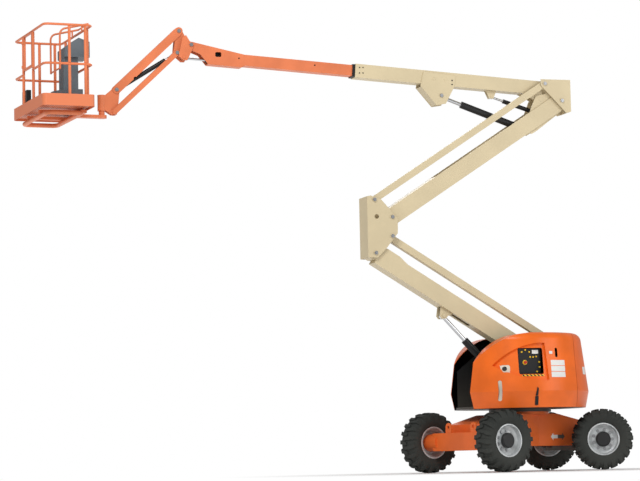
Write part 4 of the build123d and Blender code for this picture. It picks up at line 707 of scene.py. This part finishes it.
# %% Hood: blank plates, strap, stripe and sight glass
HOOD = ["hood_near"]
LET_IN = -0.004
for i in range(3):
    corners = box_corners(112, 336, 1267 + 80 * i, 1339 + 80 * i)
    sheet(f"hood_plate_{i + 1}", HOOD, corners, SKIN, PLATE, "hood_near", "plate")
sheet("key_plate", HOOD, box_corners(98, 146, 1584, 1622), SKIN, PLATE, "hood_near", "plate")
sheet("hood_strap", HOOD, box_corners(-140, -96, 892, 1012), SKIN, 0.008, "hood_near", "black_plastic")
STRAP_END = (-112, 1135), (-96, 1120), (-106, 1018), (-136, 1018)
sheet("hood_strap_end", HOOD, STRAP_END, SKIN, 0.012, "hood_near", "black_plastic")
sheet("hood_stripe", HOOD, box_corners(-290, 16, 1283, 1306), SKIN, PLATE, "hood_near", "stripe", 12)
sheet("tail_plate", ["counterweight"], box_corners(706, 796, 1312, 1416), SKIN, PLATE, "turntable", "plate")
sheet("sight_glass", HOOD, box_corners(-600, -546, 946, 1242), LET_IN, PLATE, "hood_near", "glass", 1)
sheet("filler_box", HOOD, box_corners(-546, -422, 1336, 1448), LET_IN, PLATE, "hood_near", "glass", 1)
discs("filler_cap", ["filler_box"], ((-500, 1392),), 0.034, 0.03, "hood_near", "black_plastic")
print("hood dressed")

# %% [markdown]
# The ground control box shows through the window of the hood, with switches, a stop button and a display.

# %% Control panel behind the window
PANEL_MARKS = (
    (-270, 1614), (-218, 1641), (-161, 1614), (-148, 1546), (-105, 1545),
    (-61, 1552), (-19, 1477), (-14, 1409), (-53, 1348),
)
STOP = ((-224, 1472),)
BOX = ["control_box"]
discs("panel_switches", BOX, PANEL_MARKS, 0.012, 0.012, "turntable", "yellow")
discs("panel_stop_ring", BOX, STOP, 0.034, 0.006, "turntable", "yellow")
discs("panel_stop", BOX, STOP, 0.022, 0.03, "turntable", "red")
sheet("panel_display", BOX, box_corners(-120, -30, 1590, 1640), SKIN, 0.003, "turntable", "plate")
print(len(PANEL_MARKS) + 1, "marks on the control panel")

# %% [markdown]
# The boom has plugs and bolts on its bracket, at its mouth and on the fly section.

# %% Boom: plugs and bolts
discs("bracket_plugs", ["base_boom"], ((-1180, 5442), (-1018, 5439)), 0.022, 0.005, "base_boom", "cream")
discs("bracket_bolts", ["base_boom"], ((-915, 5428), (-917, 5372)), 0.01, 0.008, "base_boom", "dark")
MOUTH = ((-2259, 5575), (-2208, 5577), (-2261, 5499), (-2210, 5500))
discs("mouth_bolts", ["base_boom", "boom_collar"], MOUTH, 0.009, 0.007, "base_boom", "dark")
discs("fly_bolts", ["fly_boom"], ((-3967, 5658), (-2895, 5593)), 0.011, 0.003, "fly_boom", "dark")
print("boom bolts placed")

# %% [markdown]
# The inside of the fly boom looks black through the hole in its nose: a black sheet there is painted shade.

# %% Boom: painted shade behind the nose hole
HOLE = box_corners(-4300, -4210, 5666, 5738)
HOLE_BACK = 0.003  # thickness of the sheet behind the hole
# a black sheet inside the boom, painted shade seen through the hole
mesh = bpy.data.meshes.new("nose_hole_shade")
back = [(mm(x, z)[0], SWING.y + y, mm(x, z)[1]) for y in (0.0, HOLE_BACK) for x, z in HOLE]
sides = [(i, (i + 1) % 4, (i + 1) % 4 + 4, i + 4) for i in range(4)]
mesh.from_pydata(back, [], [(3, 2, 1, 0), (4, 5, 6, 7)] + sides)
finish_piece(link_object("nose_hole_shade", mesh), "fly_boom", "dark")
print("nose hole backed")

# %% [markdown]
# A plain double arrow on the side of the chassis shows the drive direction.


# %% Chassis: drive arrows
def arrow(name, tip, tail, z, finish, head=42, half=24, wing=50):
    """A flat arrow from tail to tip, laid on the side of the chassis."""
    way = 1 if tip > tail else -1
    neck = tip - way * head
    outline = [(tip, z), (neck, z + wing), (neck, z + half), (tail, z + half)]
    outline += [(tail, z - half), (neck, z - half), (neck, z - wing)]
    front, back = [], []
    for x, height in outline:
        at, normal = face_at(["chassis_frame"], *mm(x, height))
        front.append(at + normal * PLATE)
        back.append(at + normal * SKIN)
    n = len(outline)
    faces = [tuple(range(n)), tuple(range(2 * n - 1, n - 1, -1))]
    faces += [(i, i + n, (i + 1) % n + n, (i + 1) % n) for i in range(n)]
    mesh = bpy.data.meshes.new(name)
    mesh.from_pydata(front + back, [], faces)
    finish_piece(link_object(name, mesh), "chassis", finish)


ARROW_Z = 468
arrow("drive_arrow_white", 360, 476, ARROW_Z, "plate")
arrow("drive_arrow_black", 596, 478, ARROW_Z, "dark")
print("drive arrows placed")

# %% [markdown]
# ## Studio
# A pale floor takes the contact shadow and fades to white away from the machine.

# %% Floor
FLOOR_HALF, FLOOR_Z = 60.0, -0.002
FADE_FROM, FADE_TO = 1.6, 4.5  # distances from the swing axis
mesh = bpy.data.meshes.new("floor")
square = [(sx * FLOOR_HALF, sy * FLOOR_HALF, FLOOR_Z) for sx, sy in ((-1, -1), (1, -1), (1, 1), (-1, 1))]
mesh.from_pydata(square, [], [(0, 1, 2, 3)])
floor = link_object("floor", mesh)
m, tree, bsdf, where = material("floor")
bsdf.inputs["Base Color"].default_value = (0.86, 0.86, 0.86, 1)
bsdf.inputs["Roughness"].default_value = 0.9
x, y, _ = split(tree, where)
dx = x - SWING.x
away = ((dx * dx + y * y) ** 0.5).step(FADE_FROM, FADE_TO)
white = make(tree, "ShaderNodeEmission", 0, Color=(1, 1, 1, 1), Strength=1.0)
blend = tree.nodes.new("ShaderNodeMixShader")
put(tree, blend.inputs["Fac"], away)
tree.links.new(bsdf.outputs[0], blend.inputs[1])
tree.links.new(white.out, blend.inputs[2])
tree.links.new(blend.outputs[0], tree.nodes["Material Output"].inputs["Surface"])
floor.data.materials.append(m)
print("floor laid")

# %% [markdown]
# The sky is soft and weak as a light, and plain white to the camera and through clear surfaces.

# %% Sky
SKY_LIGHT = 0.42
world = bpy.data.worlds.new("studio")
bpy.context.scene.world = world
world.use_nodes = True
tree = world.node_tree
sky = tree.nodes["Background"]
sky.inputs["Color"].default_value = (1.0, 1.0, 1.0, 1)
sky.inputs["Strength"].default_value = SKY_LIGHT
card = make(tree, "ShaderNodeBackground", 0, Color=(1, 1, 1, 1), Strength=1.0)
path = tree.nodes.new("ShaderNodeLightPath").outputs
seen = Sock(tree, path["Is Camera Ray"]).larger(Sock(tree, path["Is Transmission Ray"]))
pick = tree.nodes.new("ShaderNodeMixShader")
put(tree, pick.inputs["Fac"], seen)
tree.links.new(sky.outputs[0], pick.inputs[1])
tree.links.new(card.out, pick.inputs[2])
tree.links.new(pick.outputs[0], tree.nodes["World Output"].inputs["Surface"])
print("sky set")

# %% [markdown]
# One large lamp stands high on the near side, with a weak one to the right and one behind.

# %% Lamps
LAMPS = (  # name, place, aim, size in metres, power in watts
    ("key", (-6.0, -11.0, 13.0), (0.5, 0.0, 3.0), 6.0, 1250.0),
    ("fill", (9.0, -9.0, 5.0), (1.5, 0.0, 2.0), 6.0, 300.0),
    ("rim", (3.0, 12.0, 11.0), (0.0, 0.0, 3.5), 6.0, 450.0),
)
for name, place, aim, size, power in LAMPS:
    data = bpy.data.lights.new(name, "AREA")
    data.size = size
    data.energy = power
    lamp = link_object(name, data)
    lamp.location = place
    lamp.rotation_euler = (Vector(aim) - Vector(place)).to_track_quat("-Z", "Y").to_euler()
print(len(LAMPS), "lamps")

# %% [markdown]
# The camera's place, turn and lens were fitted to the wheels, the turntable and the boom pins.

# %% Camera
CAMERA_AT = (-9.7703, -31.584, 0.185)
AZIMUTH, PITCH, ROLL, LENS = 17.0, 5.2, 1.2, 136.9
cam = bpy.data.cameras.new("camera")
cam.lens = LENS
cam.clip_end = 200.0
camera = link_object("camera", cam)
turn = Matrix.Rotation(math.radians(-AZIMUTH), 4, "Z") @ Matrix.Rotation(math.radians(90 + PITCH), 4, "X")
roll = Matrix.Rotation(math.radians(-ROLL), 4, "Z")
camera.matrix_world = Matrix.Translation(CAMERA_AT) @ turn @ roll
bpy.context.scene.camera = camera
bpy.context.scene.view_settings.view_transform = "Standard"
print("studio ready")
